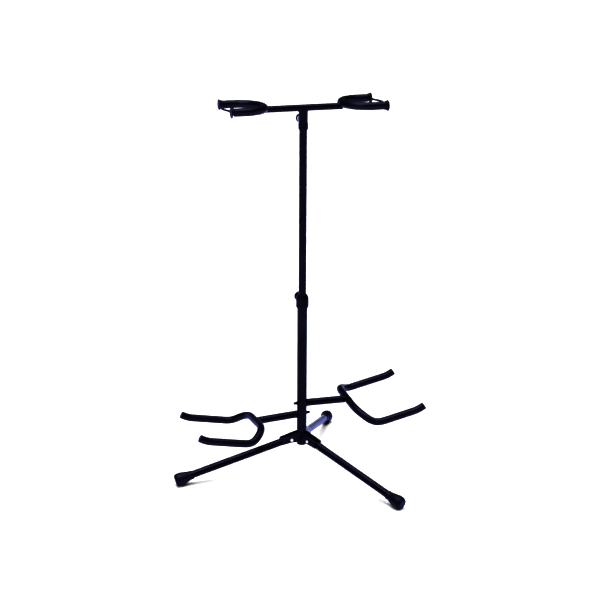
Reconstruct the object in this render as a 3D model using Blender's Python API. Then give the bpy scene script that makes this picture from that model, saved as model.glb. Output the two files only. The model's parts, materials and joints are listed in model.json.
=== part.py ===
"""Double guitar stand: folding tripod, sliding mast, two padded cradles and a swivelling head with two yokes.

Units are metres, +Z is up. +X runs to the right along the crossbar, and -Y is the front. Every piece is placed
from the axis of the column, with its foot on the floor at Z = 0; at the end the whole stand is shifted along X,
so that the origin is under the middle of its outline. Each yoke, cradle and leg is built in its own frame, whose
+X points away from the column.
"""

import math

import bmesh
import bpy
from mathutils import Matrix, Vector

# ---- fits -------------------------------------------------------------------------------------------------
GAP = 0.0003               # between pieces that touch
SIDE_PLAY = 0.0005         # each side of a leg inside its bracket
HOOK_PLAY = 0.0010         # around the cap neck that the strap hook drops over

# ---- column and mast --------------------------------------------------------------------------------------
MAST_RADIUS = 0.0095
BUSH_ROOM = 0.0015         # between the mast and the bore of the column
COLUMN_WALL = 0.0015
COLUMN_LENGTH = 0.368
MAST_WALL = 0.0012
MAST_LENGTH = 0.610
MAST_SHOWN = 0.4562        # top of the mast above the top of the column
BUSH_DEPTH = 0.030
BUSH_FLANGE = 0.0025
GLIDE_HEIGHT = 0.006
PLUG_DEPTH = 0.012         # how far a plug reaches into its tube
PLUG_FLANGE = 0.0035
TOP_PLUG_HEIGHT = 0.009

# ---- tripod -----------------------------------------------------------------------------------------------
LEG_AZIMUTHS = {"right": -60.0, "rear": 60.0, "left": 180.0}
LEG_RADIUS = 0.0095
LEG_WALL = 0.0012
LEG_LENGTH = 0.296         # from the pivot to the end of the tube
LEG_STUB = 0.0060          # of the tube behind the pivot
LEG_ROLL = 0.0018          # the end of the stub is rolled in, to turn under the web of the bracket
LEG_ROLL_LENGTH = 0.0030
LEG_SLOPE = math.radians(14.4)
PIVOT_ROOM = 0.0070        # between the column and a folded leg
HUB_DROP = 0.0128          # foot of the column below the pivots
BRACKET_REACH = 0.0263     # outer end of the bracket beyond the pivot
BRACKET_SHEET = 0.0016
BRACKET_BEND = 0.0036
BRACKET_RISE = math.radians(1.5)   # the web is steeper than the leg by this angle
BRACKET_SKIRT = 0.0050     # lower edge of the flanges under the axis of the leg
BRACKET_HEEL = 0.0074      # lower edge of the flanges under the pivot
RIVET_RADIUS = 0.0024
RIVET_HEAD_RADIUS = 0.0035
RIVET_HEAD_HEIGHT = 0.0022
FOOT_GRIP = 0.037          # length of leg inside the foot
FOOT_OUTLINE = (           # distance from the mouth of the foot, height over the leg
    (0.000, 0.0012),
    (0.003, 0.0016),
    (0.012, 0.0027),
    (0.022, 0.0051),
    (0.031, 0.0068),
    (0.040, 0.0069),
    (0.047, 0.0033),
)
FOOT_FLAT = 0.0006         # depth of the flat on which each foot rests

# ---- height clamp -----------------------------------------------------------------------------------------
COLLAR_WALL = 0.0031       # outside the column
COLLAR_LIP = 0.0017        # top rim, outside the mast
COLLAR_LAP = 0.0137        # length of column inside the collar
COLLAR_HEIGHT = 0.0352
COLLAR_TOP_TAPER = 0.010
COLLAR_FOOT_TAPER = 0.0045
CLAMP_SCREW_RISE = 0.0073  # axis of the screw above the top of the column
CLAMP_BOSS_RADIUS = 0.0072
CLAMP_BOSS_LENGTH = 0.0049 # outside the collar
CLAMP_KNOB_RADIUS = 0.0119

# ---- thumb screws -----------------------------------------------------------------------------------------
SCREW_RADIUS = 0.0030
SCREW_IN_KNOB = 0.0090
KNOB_HUB_RADIUS = 0.0065
KNOB_HUB_LENGTH = 0.0030
KNOB_THICKNESS = 0.0110
KNOB_ROUND = 0.0018

# ---- head -------------------------------------------------------------------------------------------------
BAR_RADIUS = 0.0080
BAR_WALL = 0.0012
BAR_HALF_LENGTH = 0.0955
SLEEVE_WALL = 0.0012
SLEEVE_LENGTH = 0.041      # below the axis of the crossbar
FERRULE_WALL = 0.0008      # outside the sleeve
FERRULE_HEIGHT = 0.0165
FERRULE_LAP = 0.0062       # length of sleeve inside the ferrule
FERRULE_TAPER = 0.0045
HEAD_SCREW_DROP = 0.0280   # axis of the screw below the axis of the crossbar
HEAD_NUT_RADIUS = 0.0063
HEAD_NUT_LENGTH = 0.0062   # outside the sleeve
HEAD_KNOB_RADIUS = 0.0107

# ---- yokes ------------------------------------------------------------------------------------------------
YOKE_RISE = 0.0062         # axis of the yoke above the axis of the crossbar
YOKE_WIDTH = 0.1160        # between the axes of its two arms
YOKE_BEND = 0.0560         # radius of each corner of the U
YOKE_BACK = 0.0965         # back of the U from the axis of the column
YOKE_ARM = 0.0270          # straight part of each arm
YOKE_ROD_RADIUS = 0.0050
PAD_RADIUS = 0.0095
CAP_FLANGE_RADIUS = 0.0127
CAP_FLANGE = 0.0034
CAP_NECK_RADIUS = 0.0070
CAP_NECK = 0.0052
STRAP_RING_RADIUS = 0.0112
STRAP_THICKNESS = 0.0044
STRAP_BAND_HEIGHT = 0.0052
STRAP_BAND_THICKNESS = 0.0030
STRAP_BOW = 0.0115
STRAP_HOOK_LEG = 0.0050

# ---- cradles ----------------------------------------------------------------------------------------------
CRADLE_HEIGHTS = {"right": 0.1054, "left": 0.0776}     # arm at the column, above the foot of the column
CRADLE_AZIMUTHS = {"right": 0.0, "left": 180.0}
CRADLE_TURNS = {"right": math.radians(3.0), "left": math.radians(7.0)}    # about the stud
CRADLE_DROOPS = {"right": math.radians(1.3), "left": math.radians(3.1)}
ARM_RADIUS = 0.0095
ARM_WALL = 0.0012
SADDLE_THICKNESS = 0.0035
STUD_RADIUS = 0.0025
STUD_GRIP = 0.0110         # length of stud inside the arm
CAP_NUT_RADIUS = 0.0037
CAP_NUT_LENGTH = 0.0088
CAP_NUT_CROWN = 0.0015
FORK_BACK = 0.1195         # back of the fork from the axis of the column
FORK_ROD_RADIUS = 0.0060
FORK_ROD_WALL = 0.0015
FORK_WIDTH = 0.2150        # between the axes of its two arms
FORK_CORNER_BEND = 0.0650  # radius of each corner of the U, bent flat
FORK_DIP = 0.0438          # from the back to the heel, measured on the flat U
FORK_DIP_ANGLE = math.radians(30.5)
FORK_ARM = 0.1155          # from the heel to the upturned tip
FORK_ARM_RISE = math.radians(13.6)
FORK_TIP = 0.0165
FORK_TIP_RISE = math.radians(36.0)
FORK_HEEL_BEND = 0.0250
FORK_TIP_BEND = 0.0180
TIP_PLUG_FLANGE = 0.0024

# ---- facets -----------------------------------------------------------------------------------------------
ROUND_SIDES = 16
SMALL_SIDES = 12
PAD_SIDES = 12
BORE_SIDES = 8
BEND_STEP = math.radians(18.0)

# ---- places that follow -----------------------------------------------------------------------------------
FOOT_START = LEG_LENGTH - FOOT_GRIP
FOOT_SKIN = [(LEG_RADIUS + rise, FOOT_START + along) for along, rise in FOOT_OUTLINE]
PIVOT_HEIGHT = max(
    along * math.sin(LEG_SLOPE) + radius * math.cos(LEG_SLOPE)
    for radius, along in FOOT_SKIN
) - FOOT_FLAT
COLUMN_BOTTOM = PIVOT_HEIGHT - HUB_DROP
COLUMN_TOP = COLUMN_BOTTOM + COLUMN_LENGTH
COLUMN_BORE = MAST_RADIUS + BUSH_ROOM
COLUMN_RADIUS = COLUMN_BORE + COLUMN_WALL
PIVOT_RADIUS = COLUMN_RADIUS + PIVOT_ROOM + LEG_RADIUS    # pivot to the axis of the column
BRACKET_LENGTH = PIVOT_RADIUS + BRACKET_REACH
MAST_BORE = MAST_RADIUS - MAST_WALL
MAST_TOP = COLUMN_TOP + MAST_SHOWN
MAST_BOTTOM = MAST_TOP - MAST_LENGTH
BAR_HEIGHT = MAST_TOP + TOP_PLUG_HEIGHT + GAP + BAR_RADIUS
YOKE_HEIGHT = BAR_HEIGHT + YOKE_RISE
SLEEVE_BORE = MAST_RADIUS + GAP
SLEEVE_RADIUS = SLEEVE_BORE + SLEEVE_WALL
FERRULE_RADIUS = SLEEVE_RADIUS + FERRULE_WALL
HEAD_NUT_REACH = SLEEVE_RADIUS + HEAD_NUT_LENGTH
COLLAR_RADIUS = COLUMN_RADIUS + COLLAR_WALL
COLLAR_TOP_RADIUS = MAST_RADIUS + COLLAR_LIP
CLAMP_BOSS_REACH = COLLAR_RADIUS + CLAMP_BOSS_LENGTH
COLLAR_BOTTOM = COLUMN_TOP - COLLAR_LAP
COLLAR_TOP = COLLAR_BOTTOM + COLLAR_HEIGHT
CLAMP_SCREW_HEIGHT = COLUMN_TOP + CLAMP_SCREW_RISE
HEAD_SCREW_HEIGHT = BAR_HEIGHT - HEAD_SCREW_DROP
BRACKET_INNER = LEG_RADIUS + SIDE_PLAY
BRACKET_OUTER = BRACKET_INNER + BRACKET_SHEET
BRACKET_HEEL_START = BRACKET_OUTER / math.tan(math.pi / len(LEG_AZIMUTHS)) + GAP    # just short of its neighbours
YOKE_HALF = YOKE_WIDTH / 2.0
YOKE_END = YOKE_BACK + YOKE_BEND + YOKE_ARM     # mouth face of the pads
STRAP_PLACE = YOKE_END + GAP + CAP_NECK / 2.0
FORK_ROD_BORE = FORK_ROD_RADIUS - FORK_ROD_WALL
ARM_START = COLUMN_RADIUS + GAP + SADDLE_THICKNESS + GAP
ARM_END = FORK_BACK - FORK_ROD_RADIUS - GAP

SIDES = ("left", "right")
YOKE_AZIMUTHS = {"right": 0.0, "left": 180.0}
ALONG_X = Matrix.Rotation(math.radians(90.0), 4, "Y")
ALONG_Y = Matrix.Rotation(math.radians(-90.0), 4, "X")
ALONG_Z = Matrix.Identity(4)


# ---- materials --------------------------------------------------------------------------------------------
def make_material(name, colour, roughness, metallic):
    material = bpy.data.materials.new(name)
    material.use_nodes = True
    shader = material.node_tree.nodes["Principled BSDF"]
    shader.inputs["Base Color"].default_value = (*colour, 1.0)
    shader.inputs["Roughness"].default_value = roughness
    shader.inputs["Metallic"].default_value = metallic
    material.diffuse_color = (*colour, 1.0)
    return material


def make_materials():
    return {
        "paint": make_material("black_powder_coat", (0.012, 0.012, 0.020), 0.35, 0.0),
        "plastic": make_material("black_nylon", (0.015, 0.015, 0.018), 0.45, 0.0),
        "rubber": make_material("black_rubber", (0.014, 0.014, 0.024), 0.60, 0.0),
        "foam": make_material("black_foam_sleeve", (0.016, 0.015, 0.026), 0.70, 0.0),
        "zinc": make_material("zinc_plate", (0.72, 0.72, 0.74), 0.28, 1.0),
    }


# ---- building blocks --------------------------------------------------------------------------------------
def add_object(name, mesh_data, material, parent=None):
    """Put a finished bmesh in the scene under its parent, with smooth round faces and sharp edges."""
    bmesh.ops.recalc_face_normals(mesh_data, faces=mesh_data.faces)
    mesh = bpy.data.meshes.new(name)
    mesh_data.to_mesh(mesh)
    mesh_data.free()
    mesh.shade_smooth()
    mesh.set_sharp_from_angle(angle=math.radians(35.0))
    thing = bpy.data.objects.new(name, mesh)
    if material is not None:
        mesh.materials.append(material)
    thing.parent = parent
    bpy.context.collection.objects.link(thing)
    return thing


def add_empty(name, location, rotation=(0.0, 0.0, 0.0), parent=None):
    """A frame to build in. Its rotation is an XYZ Euler: roll, then pitch, then azimuth."""
    empty = bpy.data.objects.new(name, None)
    empty.location = location
    empty.rotation_euler = rotation
    empty.parent = parent
    bpy.context.collection.objects.link(empty)
    return empty


def combine(target, other, operation):
    """Boolean the target with another object, which becomes a hidden guide."""
    other.hide_render = True
    other.display_type = "WIRE"
    modifier = target.modifiers.new(other.name, "BOOLEAN")
    modifier.operation = operation
    modifier.solver = "EXACT"
    modifier.object = other


def cut(target, *others):
    for other in others:
        combine(target, other, "DIFFERENCE")


def join(target, *others):
    for other in others:
        combine(target, other, "UNION")


def turned(name, outline, material, parent=None, turn=ALONG_Z, centre=(0.0, 0.0, 0.0), sides=ROUND_SIDES):
    """Spin a closed outline of (radius, height) points about an axis through the centre."""
    mesh_data = bmesh.new()
    ring = [mesh_data.verts.new((radius, 0.0, height)) for radius, height in outline]
    edges = [mesh_data.edges.new((ring[i - 1], ring[i])) for i in range(len(ring))]
    bmesh.ops.spin(
        mesh_data,
        geom=ring + edges,
        cent=(0.0, 0.0, 0.0),
        axis=(0.0, 0.0, 1.0),
        angle=2.0 * math.pi,
        steps=sides,
        use_merge=True,
    )
    bmesh.ops.remove_doubles(mesh_data, verts=mesh_data.verts, dist=1e-6)
    flat = [face for face in mesh_data.faces if face.calc_area() < 1e-12]
    bmesh.ops.delete(mesh_data, geom=flat, context="FACES")
    loose = [edge for edge in mesh_data.edges if not edge.link_faces]
    bmesh.ops.delete(mesh_data, geom=loose, context="EDGES")
    bmesh.ops.transform(mesh_data, matrix=Matrix.Translation(centre) @ turn, verts=mesh_data.verts)
    return add_object(name, mesh_data, material, parent)


def rod(name, radius, start, end, parent=None, turn=ALONG_X, centre=(0.0, 0.0, 0.0), sides=ROUND_SIDES):
    """A plain cylinder from start to end along its axis, as a guide for cuts and joins."""
    outline = ((0.0, start), (radius, start), (radius, end), (0.0, end))
    return turned(name, outline, None, parent, turn, centre, sides)


def slab(name, half_side, thickness):
    """A square block whose top lies on the floor, as a guide for cuts."""
    mesh_data = bmesh.new()
    bmesh.ops.create_cube(mesh_data, size=1.0)
    bmesh.ops.scale(mesh_data, vec=(2.0 * half_side, 2.0 * half_side, thickness), verts=mesh_data.verts)
    bmesh.ops.translate(mesh_data, vec=(0.0, 0.0, -thickness / 2.0), verts=mesh_data.verts)
    return add_object(name, mesh_data, None)


def tube_outline(bore, radius, start, end):
    return ((bore, start), (radius, start), (radius, end), (bore, end))


def bent_path(corners, bends):
    """Points along straight runs through the corners, with an arc of the given radius at each inner corner."""
    points = [Vector(corners[0])]
    for i, bend in enumerate(bends, start=1):
        corner = Vector(corners[i])
        before = (Vector(corners[i - 1]) - corner).normalized()
        after = (Vector(corners[i + 1]) - corner).normalized()
        turn = math.pi - before.angle(after)
        reach = bend * math.tan(turn / 2.0)
        centre = corner + (before + after).normalized() * (bend / math.cos(turn / 2.0))
        axis = after.cross(before).normalized()
        arm = corner + before * reach - centre
        steps = max(2, math.ceil(turn / BEND_STEP))
        points += [centre + Matrix.Rotation(turn * k / steps, 3, axis) @ arm for k in range(steps + 1)]
    points.append(Vector(corners[-1]))
    return points


def path_frames(path):
    """Tangent and side of the path at each station, carried from its first station with no twist."""
    runs = [(after - before).normalized() for before, after in zip(path, path[1:])]
    tangents = [runs[0]] + [(a + b).normalized() for a, b in zip(runs, runs[1:])] + [runs[-1]]
    side = Vector((0.0, 0.0, 1.0))
    frames = []
    for tangent in tangents:
        side = (side - tangent * side.dot(tangent)).normalized()
        frames.append((tangent, side))
    return frames


def path_rings(path, radius, sides):
    """A ring of points round each station of the path."""
    rings = []
    angles = [2.0 * math.pi * k / sides for k in range(sides)]
    for station, (tangent, side) in zip(path, path_frames(path)):
        other = tangent.cross(side)
        rings.append([station + (side * math.cos(a) + other * math.sin(a)) * radius for a in angles])
    return rings


def swept(name, path, radius, bore, material, parent=None, sides=PAD_SIDES):
    """A round bar along the path, or a tube where it has a bore. The flats of the bore lie on its radius."""
    mesh_data = bmesh.new()
    ends = {0: [], -1: []}
    skins = [(radius, sides)]
    if bore:
        skins.append((bore / math.cos(math.pi / BORE_SIDES), BORE_SIDES))
    for skin_radius, skin_sides in skins:
        rings = [
            [mesh_data.verts.new(point) for point in ring]
            for ring in path_rings(path, skin_radius, skin_sides)
        ]
        for near, far in zip(rings, rings[1:]):
            for k in range(skin_sides):
                mesh_data.faces.new((near[k - 1], near[k], far[k], far[k - 1]))
        for end in ends:
            ring = rings[end]
            ends[end] += [mesh_data.edges.get((ring[k - 1], ring[k])) for k in range(skin_sides)]
    for edges in ends.values():
        bmesh.ops.triangle_fill(mesh_data, use_beauty=True, use_dissolve=False, edges=edges)
    return add_object(name, mesh_data, material, parent)


def prism(name, outline, half_width, material, parent=None, bend=0.0, bent_edges=()):
    """Extrude an (x, z) outline across Y; the bent edges are rounded, as where a sheet is folded."""
    mesh_data = bmesh.new()
    near = [mesh_data.verts.new((x, -half_width, z)) for x, z in outline]
    face = mesh_data.faces.new(near)
    grown = bmesh.ops.extrude_face_region(mesh_data, geom=[face])
    far = [item for item in grown["geom"] if isinstance(item, bmesh.types.BMVert)]
    bmesh.ops.translate(mesh_data, vec=(0.0, 2.0 * half_width, 0.0), verts=far)
    rounded = []
    for first, second in bent_edges:
        places = {outline[first], outline[second]}
        for edge in mesh_data.edges:
            ends = {(round(v.co.x, 6), round(v.co.z, 6)) for v in edge.verts}
            if ends == {(round(x, 6), round(z, 6)) for x, z in places}:
                rounded.append(edge)
    if rounded:
        bmesh.ops.bevel(mesh_data, geom=rounded, offset=bend, segments=3, profile=0.5, affect="EDGES")
    return add_object(name, mesh_data, material, parent)


# ---- tripod -----------------------------------------------------------------------------------------------
def leg_axis_height(distance):
    """Height of the axis of an open leg, at a distance from the column's axis."""
    return PIVOT_HEIGHT - (distance - PIVOT_RADIUS) * math.tan(LEG_SLOPE)


def bracket_outline(top_drop, skirt, start, end):
    """Side outline of a bracket: a sloping web over straight flanges. The web clears the leg at its outer end."""
    stop_height = leg_axis_height(BRACKET_LENGTH) + LEG_RADIUS / math.cos(LEG_SLOPE) + GAP + BRACKET_SHEET
    slope = math.tan(LEG_SLOPE + BRACKET_RISE)

    def web(distance):
        return stop_height + (BRACKET_LENGTH - distance) * slope - top_drop

    heel = PIVOT_HEIGHT - skirt - (BRACKET_HEEL - BRACKET_SKIRT)
    toe = leg_axis_height(end) - skirt
    return (
        (start, web(start)),
        (start, heel),
        (PIVOT_RADIUS, heel),
        (end, toe),
        (end, web(end)),
    )


def make_bracket(name, azimuth, materials):
    frame = add_empty(name + "_frame", (0.0, 0.0, 0.0), (0.0, 0.0, math.radians(azimuth)))
    outline = bracket_outline(0.0, BRACKET_SKIRT, BRACKET_HEEL_START, BRACKET_LENGTH)
    bracket = prism(name, outline, BRACKET_OUTER, materials["paint"], frame, BRACKET_BEND, ((4, 0),))
    inner = bracket_outline(BRACKET_SHEET, 3.0 * BRACKET_SKIRT, -COLUMN_RADIUS, 2.0 * BRACKET_LENGTH)
    channel = prism(name + "_channel", inner, BRACKET_INNER, None, frame)
    column = rod(name + "_seat", COLUMN_RADIUS + GAP, 0.0, COLUMN_TOP, frame, ALONG_Z)
    hole = rod(name + "_hole", RIVET_RADIUS + GAP, -COLUMN_RADIUS * 2.0, COLUMN_RADIUS * 2.0, frame, ALONG_Y,
               (PIVOT_RADIUS, 0.0, PIVOT_HEIGHT))
    cut(bracket, channel, column, hole)


def make_rivet(name, azimuth, materials):
    frame = add_empty(name + "_frame", (0.0, 0.0, PIVOT_HEIGHT), (0.0, 0.0, math.radians(azimuth)))
    seat = BRACKET_OUTER + GAP
    crown = seat + RIVET_HEAD_HEIGHT
    shoulder = seat + 0.35 * RIVET_HEAD_HEIGHT
    inset = 0.6 * RIVET_HEAD_RADIUS
    outline = (
        (0.0, -crown),
        (inset, -crown + 0.12 * RIVET_HEAD_HEIGHT),
        (RIVET_HEAD_RADIUS, -shoulder),
        (RIVET_HEAD_RADIUS, -seat),
        (RIVET_RADIUS, -seat),
        (RIVET_RADIUS, seat),
        (RIVET_HEAD_RADIUS, seat),
        (RIVET_HEAD_RADIUS, shoulder),
        (inset, crown - 0.12 * RIVET_HEAD_HEIGHT),
        (0.0, crown),
    )
    return turned(name, outline, materials["zinc"], frame, ALONG_Y, (PIVOT_RADIUS, 0.0, 0.0), SMALL_SIDES)


def make_leg(side, azimuth, materials):
    angle = math.radians(azimuth)
    place = (PIVOT_RADIUS * math.cos(angle), PIVOT_RADIUS * math.sin(angle), PIVOT_HEIGHT)
    pivot = add_empty(f"leg_{side}_pivot", place, (0.0, LEG_SLOPE, angle))
    bore = LEG_RADIUS - LEG_WALL
    roll_end = LEG_ROLL_LENGTH - LEG_STUB
    outline = (
        (bore - LEG_ROLL, -LEG_STUB),
        (LEG_RADIUS - LEG_ROLL, -LEG_STUB),
        (LEG_RADIUS, roll_end),
        (LEG_RADIUS, LEG_LENGTH),
        (bore, LEG_LENGTH),
        (bore, roll_end),
    )
    leg = turned(f"leg_{side}", outline, materials["paint"], pivot, ALONG_X)
    cut(leg, rod(f"leg_{side}_hole", RIVET_RADIUS + GAP, -2.0 * LEG_RADIUS, 2.0 * LEG_RADIUS, pivot, ALONG_Y))
    mouth = LEG_RADIUS + GAP
    pocket = [(0.0, FOOT_SKIN[-1][1]), (0.0, LEG_LENGTH + GAP), (mouth, LEG_LENGTH + GAP), (mouth, FOOT_START)]
    foot = turned(f"foot_{side}", FOOT_SKIN + pocket, materials["rubber"], pivot, ALONG_X)
    cut(foot, slab(f"foot_{side}_floor", 2.0 * LEG_LENGTH, LEG_RADIUS))


def make_tripod(materials):
    for side, azimuth in LEG_AZIMUTHS.items():
        make_bracket(f"leg_bracket_{side}", azimuth, materials)
        make_rivet(f"leg_rivet_{side}", azimuth, materials)
        make_leg(side, azimuth, materials)


# ---- column, mast and height clamp ------------------------------------------------------------------------
def make_column(materials):
    outline = tube_outline(COLUMN_BORE, COLUMN_RADIUS, COLUMN_BOTTOM, COLUMN_TOP)
    column = turned("column_tube", outline, materials["paint"])
    for side in SIDES:
        frame = cradle_frame(f"column_{side}_stud_frame", side)
        cut(column, rod(f"column_{side}_stud_hole", STUD_RADIUS + GAP, -2.0 * COLUMN_RADIUS,
                        2.0 * COLUMN_RADIUS, frame))
    seat = COLUMN_BOTTOM - GAP
    foot = seat - PLUG_FLANGE
    stem = COLUMN_BORE - GAP
    plug = (
        (0.0, foot - 0.0015),
        (0.6 * COLUMN_RADIUS, foot - 0.0010),
        (COLUMN_RADIUS, foot + 0.0012),
        (COLUMN_RADIUS, seat),
        (stem, seat),
        (stem, COLUMN_BOTTOM + PLUG_DEPTH),
        (0.0, COLUMN_BOTTOM + PLUG_DEPTH),
    )
    turned("column_plug", plug, materials["plastic"])


def make_mast(materials):
    turned("mast_tube", tube_outline(MAST_BORE, MAST_RADIUS, MAST_BOTTOM, MAST_TOP), materials["paint"])
    stem = MAST_BORE - GAP
    top_seat = MAST_TOP + GAP
    top_plug = (
        (0.0, MAST_TOP - PLUG_DEPTH),
        (stem, MAST_TOP - PLUG_DEPTH),
        (stem, top_seat),
        (MAST_RADIUS, top_seat),
        (MAST_RADIUS, MAST_TOP + TOP_PLUG_HEIGHT - 0.0015),
        (MAST_RADIUS - 0.0015, MAST_TOP + TOP_PLUG_HEIGHT),
        (0.0, MAST_TOP + TOP_PLUG_HEIGHT),
    )
    turned("mast_top_plug", top_plug, materials["plastic"])
    glide_radius = COLUMN_BORE - GAP
    glide_top = MAST_BOTTOM - GAP
    glide = (
        (0.0, glide_top - GLIDE_HEIGHT),
        (glide_radius, glide_top - GLIDE_HEIGHT),
        (glide_radius, glide_top),
        (stem, glide_top),
        (stem, MAST_BOTTOM + PLUG_DEPTH),
        (0.0, MAST_BOTTOM + PLUG_DEPTH),
    )
    turned("mast_glide", glide, materials["plastic"])


def make_bush(materials):
    """Flanged bush that sits on the column's rim and guides the mast."""
    bore = MAST_RADIUS + GAP
    outline = (
        (bore, COLUMN_TOP - BUSH_DEPTH),
        (COLUMN_BORE - GAP, COLUMN_TOP - BUSH_DEPTH),
        (COLUMN_BORE - GAP, COLUMN_TOP + GAP),
        (COLUMN_RADIUS, COLUMN_TOP + GAP),
        (COLUMN_RADIUS, COLUMN_TOP + GAP + BUSH_FLANGE),
        (bore, COLUMN_TOP + GAP + BUSH_FLANGE),
    )
    turned("collar_bush", outline, materials["plastic"])


def make_collar(materials):
    """Moulded clamp over the top of the column, with a boss for the clamping screw at the back."""
    wide = COLUMN_RADIUS + GAP
    step = COLUMN_TOP + 2.0 * GAP + BUSH_FLANGE
    narrow = MAST_RADIUS + GAP
    outline = (
        (wide, COLLAR_BOTTOM),
        (wide + 0.0008, COLLAR_BOTTOM),
        (COLLAR_RADIUS, COLLAR_BOTTOM + COLLAR_FOOT_TAPER),
        (COLLAR_RADIUS, COLLAR_TOP - COLLAR_TOP_TAPER),
        (COLLAR_TOP_RADIUS, COLLAR_TOP),
        (narrow, COLLAR_TOP),
        (narrow, step),
        (wide, step),
    )
    collar = turned("height_collar", outline, materials["plastic"])
    centre = (0.0, 0.0, CLAMP_SCREW_HEIGHT)
    boss = rod("height_collar_boss", CLAMP_BOSS_RADIUS, wide + GAP, CLAMP_BOSS_REACH, None, ALONG_Y, centre)
    hole = rod("height_collar_hole", SCREW_RADIUS + GAP, 0.0, 2.0 * CLAMP_BOSS_REACH, None, ALONG_Y, centre)
    join(collar, boss)
    cut(collar, hole)


def make_thumb_screw(prefix, height, tip, seat, radius, materials, parent=None):
    """A screw whose tip bears on the mast, and the round knob moulded on it. Both point to +Y."""
    centre = (0.0, 0.0, height)
    back = seat + KNOB_HUB_LENGTH
    end = back + KNOB_THICKNESS
    screw_end = seat + SCREW_IN_KNOB
    screw = ((0.0, tip), (SCREW_RADIUS, tip), (SCREW_RADIUS, screw_end), (0.0, screw_end))
    turned(prefix + "_screw", screw, materials["zinc"], parent, ALONG_Y, centre, SMALL_SIDES)
    bore = SCREW_RADIUS + GAP
    knob = (
        (bore, seat),
        (KNOB_HUB_RADIUS, seat),
        (KNOB_HUB_RADIUS, back),
        (radius - KNOB_ROUND, back),
        (radius, back + KNOB_ROUND),
        (radius, end - 1.5 * KNOB_ROUND),
        (radius - KNOB_ROUND, end - 0.3 * KNOB_ROUND),
        (0.5 * radius, end),
        (0.0, end),
        (0.0, screw_end + GAP),
        (bore, screw_end + GAP),
    )
    turned(prefix + "_knob", knob, materials["plastic"], parent, ALONG_Y, centre)


# ---- head -------------------------------------------------------------------------------------------------
def yoke_frame(name, side):
    return add_empty(name, (0.0, 0.0, YOKE_HEIGHT), (0.0, 0.0, math.radians(YOKE_AZIMUTHS[side])))


def yoke_half_path(hand, start, end):
    """Axis of half a yoke, from the middle of its back (offset by start) to a distance from the column."""
    corner = (YOKE_BACK, hand * YOKE_HALF, 0.0)
    return bent_path(((YOKE_BACK, hand * start, 0.0), corner, (end, hand * YOKE_HALF, 0.0)), (YOKE_BEND,))


def yoke_rod_path(end):
    far = yoke_half_path(1.0, 0.0, end)
    near = yoke_half_path(-1.0, 0.0, end)
    return near[:0:-1] + far[1:]


def make_crossbar(materials):
    bore = BAR_RADIUS - BAR_WALL
    outline = tube_outline(bore, BAR_RADIUS, -BAR_HALF_LENGTH, BAR_HALF_LENGTH)
    bar = turned("crossbar", outline, materials["paint"], None, ALONG_X, (0.0, 0.0, BAR_HEIGHT), SMALL_SIDES)
    for side in SIDES:
        frame = yoke_frame(f"crossbar_{side}_frame", side)
        path = yoke_rod_path(YOKE_END)
        cut(bar, swept(f"crossbar_{side}_cope", path, YOKE_ROD_RADIUS + GAP, None, None, frame, PAD_SIDES))


def make_head_sleeve(materials):
    bottom = BAR_HEIGHT - SLEEVE_LENGTH
    outline = tube_outline(SLEEVE_BORE, SLEEVE_RADIUS, bottom, BAR_HEIGHT - 0.35 * BAR_RADIUS)
    sleeve = turned("head_sleeve", outline, materials["paint"])
    saddle = rod("head_sleeve_saddle", BAR_RADIUS + GAP, -2.0 * SLEEVE_RADIUS, 2.0 * SLEEVE_RADIUS, None, ALONG_X,
                 (0.0, 0.0, BAR_HEIGHT))
    centre = (0.0, 0.0, HEAD_SCREW_HEIGHT)
    hole = rod("head_sleeve_hole", SCREW_RADIUS + GAP, 0.0, 2.0 * SLEEVE_RADIUS, None, ALONG_Y, centre)
    cut(sleeve, saddle, hole)
    nut_outline = tube_outline(SCREW_RADIUS + GAP, HEAD_NUT_RADIUS, 0.5 * SLEEVE_RADIUS, HEAD_NUT_REACH)
    nut = turned("head_weld_nut", nut_outline, materials["zinc"], None, ALONG_Y, centre)
    cut(nut, rod("head_weld_nut_seat", SLEEVE_RADIUS + GAP, bottom, BAR_HEIGHT, None, ALONG_Z))


def make_ferrule(materials):
    """Ring on the foot of the head sleeve; its lip guides the mast."""
    sleeve_bottom = BAR_HEIGHT - SLEEVE_LENGTH
    top = sleeve_bottom + FERRULE_LAP
    bottom = top - FERRULE_HEIGHT
    lip = MAST_RADIUS + GAP
    seat = SLEEVE_RADIUS + GAP
    outline = (
        (lip, bottom),
        (lip + 0.0008, bottom),
        (FERRULE_RADIUS, bottom + FERRULE_TAPER),
        (FERRULE_RADIUS, top),
        (seat, top),
        (seat, sleeve_bottom - GAP),
        (lip, sleeve_bottom - GAP),
    )
    turned("head_ferrule", outline, materials["plastic"])


# ---- yokes ------------------------------------------------------------------------------------------------
def make_yoke_cap(name, hand, frame, materials):
    """Rubber end cap: a neck for the strap, and a flange that keeps the strap on. Returns the end of its rod."""
    start = YOKE_END + GAP
    flange = start + CAP_NECK
    end = flange + CAP_FLANGE
    rod_end = flange
    bore = YOKE_ROD_RADIUS + GAP
    outline = (
        (bore, start),
        (CAP_NECK_RADIUS, start),
        (CAP_NECK_RADIUS, flange),
        (CAP_FLANGE_RADIUS - 0.0004, flange),
        (CAP_FLANGE_RADIUS, flange + 0.35 * CAP_FLANGE),
        (CAP_FLANGE_RADIUS - 0.0012, flange + 0.8 * CAP_FLANGE),
        (0.5 * CAP_FLANGE_RADIUS, end),
        (0.0, end),
        (0.0, rod_end + GAP),
        (bore, rod_end + GAP),
    )
    turned(name, outline, materials["rubber"], frame, ALONG_X, (0.0, hand * YOKE_HALF, 0.0), SMALL_SIDES)
    return rod_end


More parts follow.
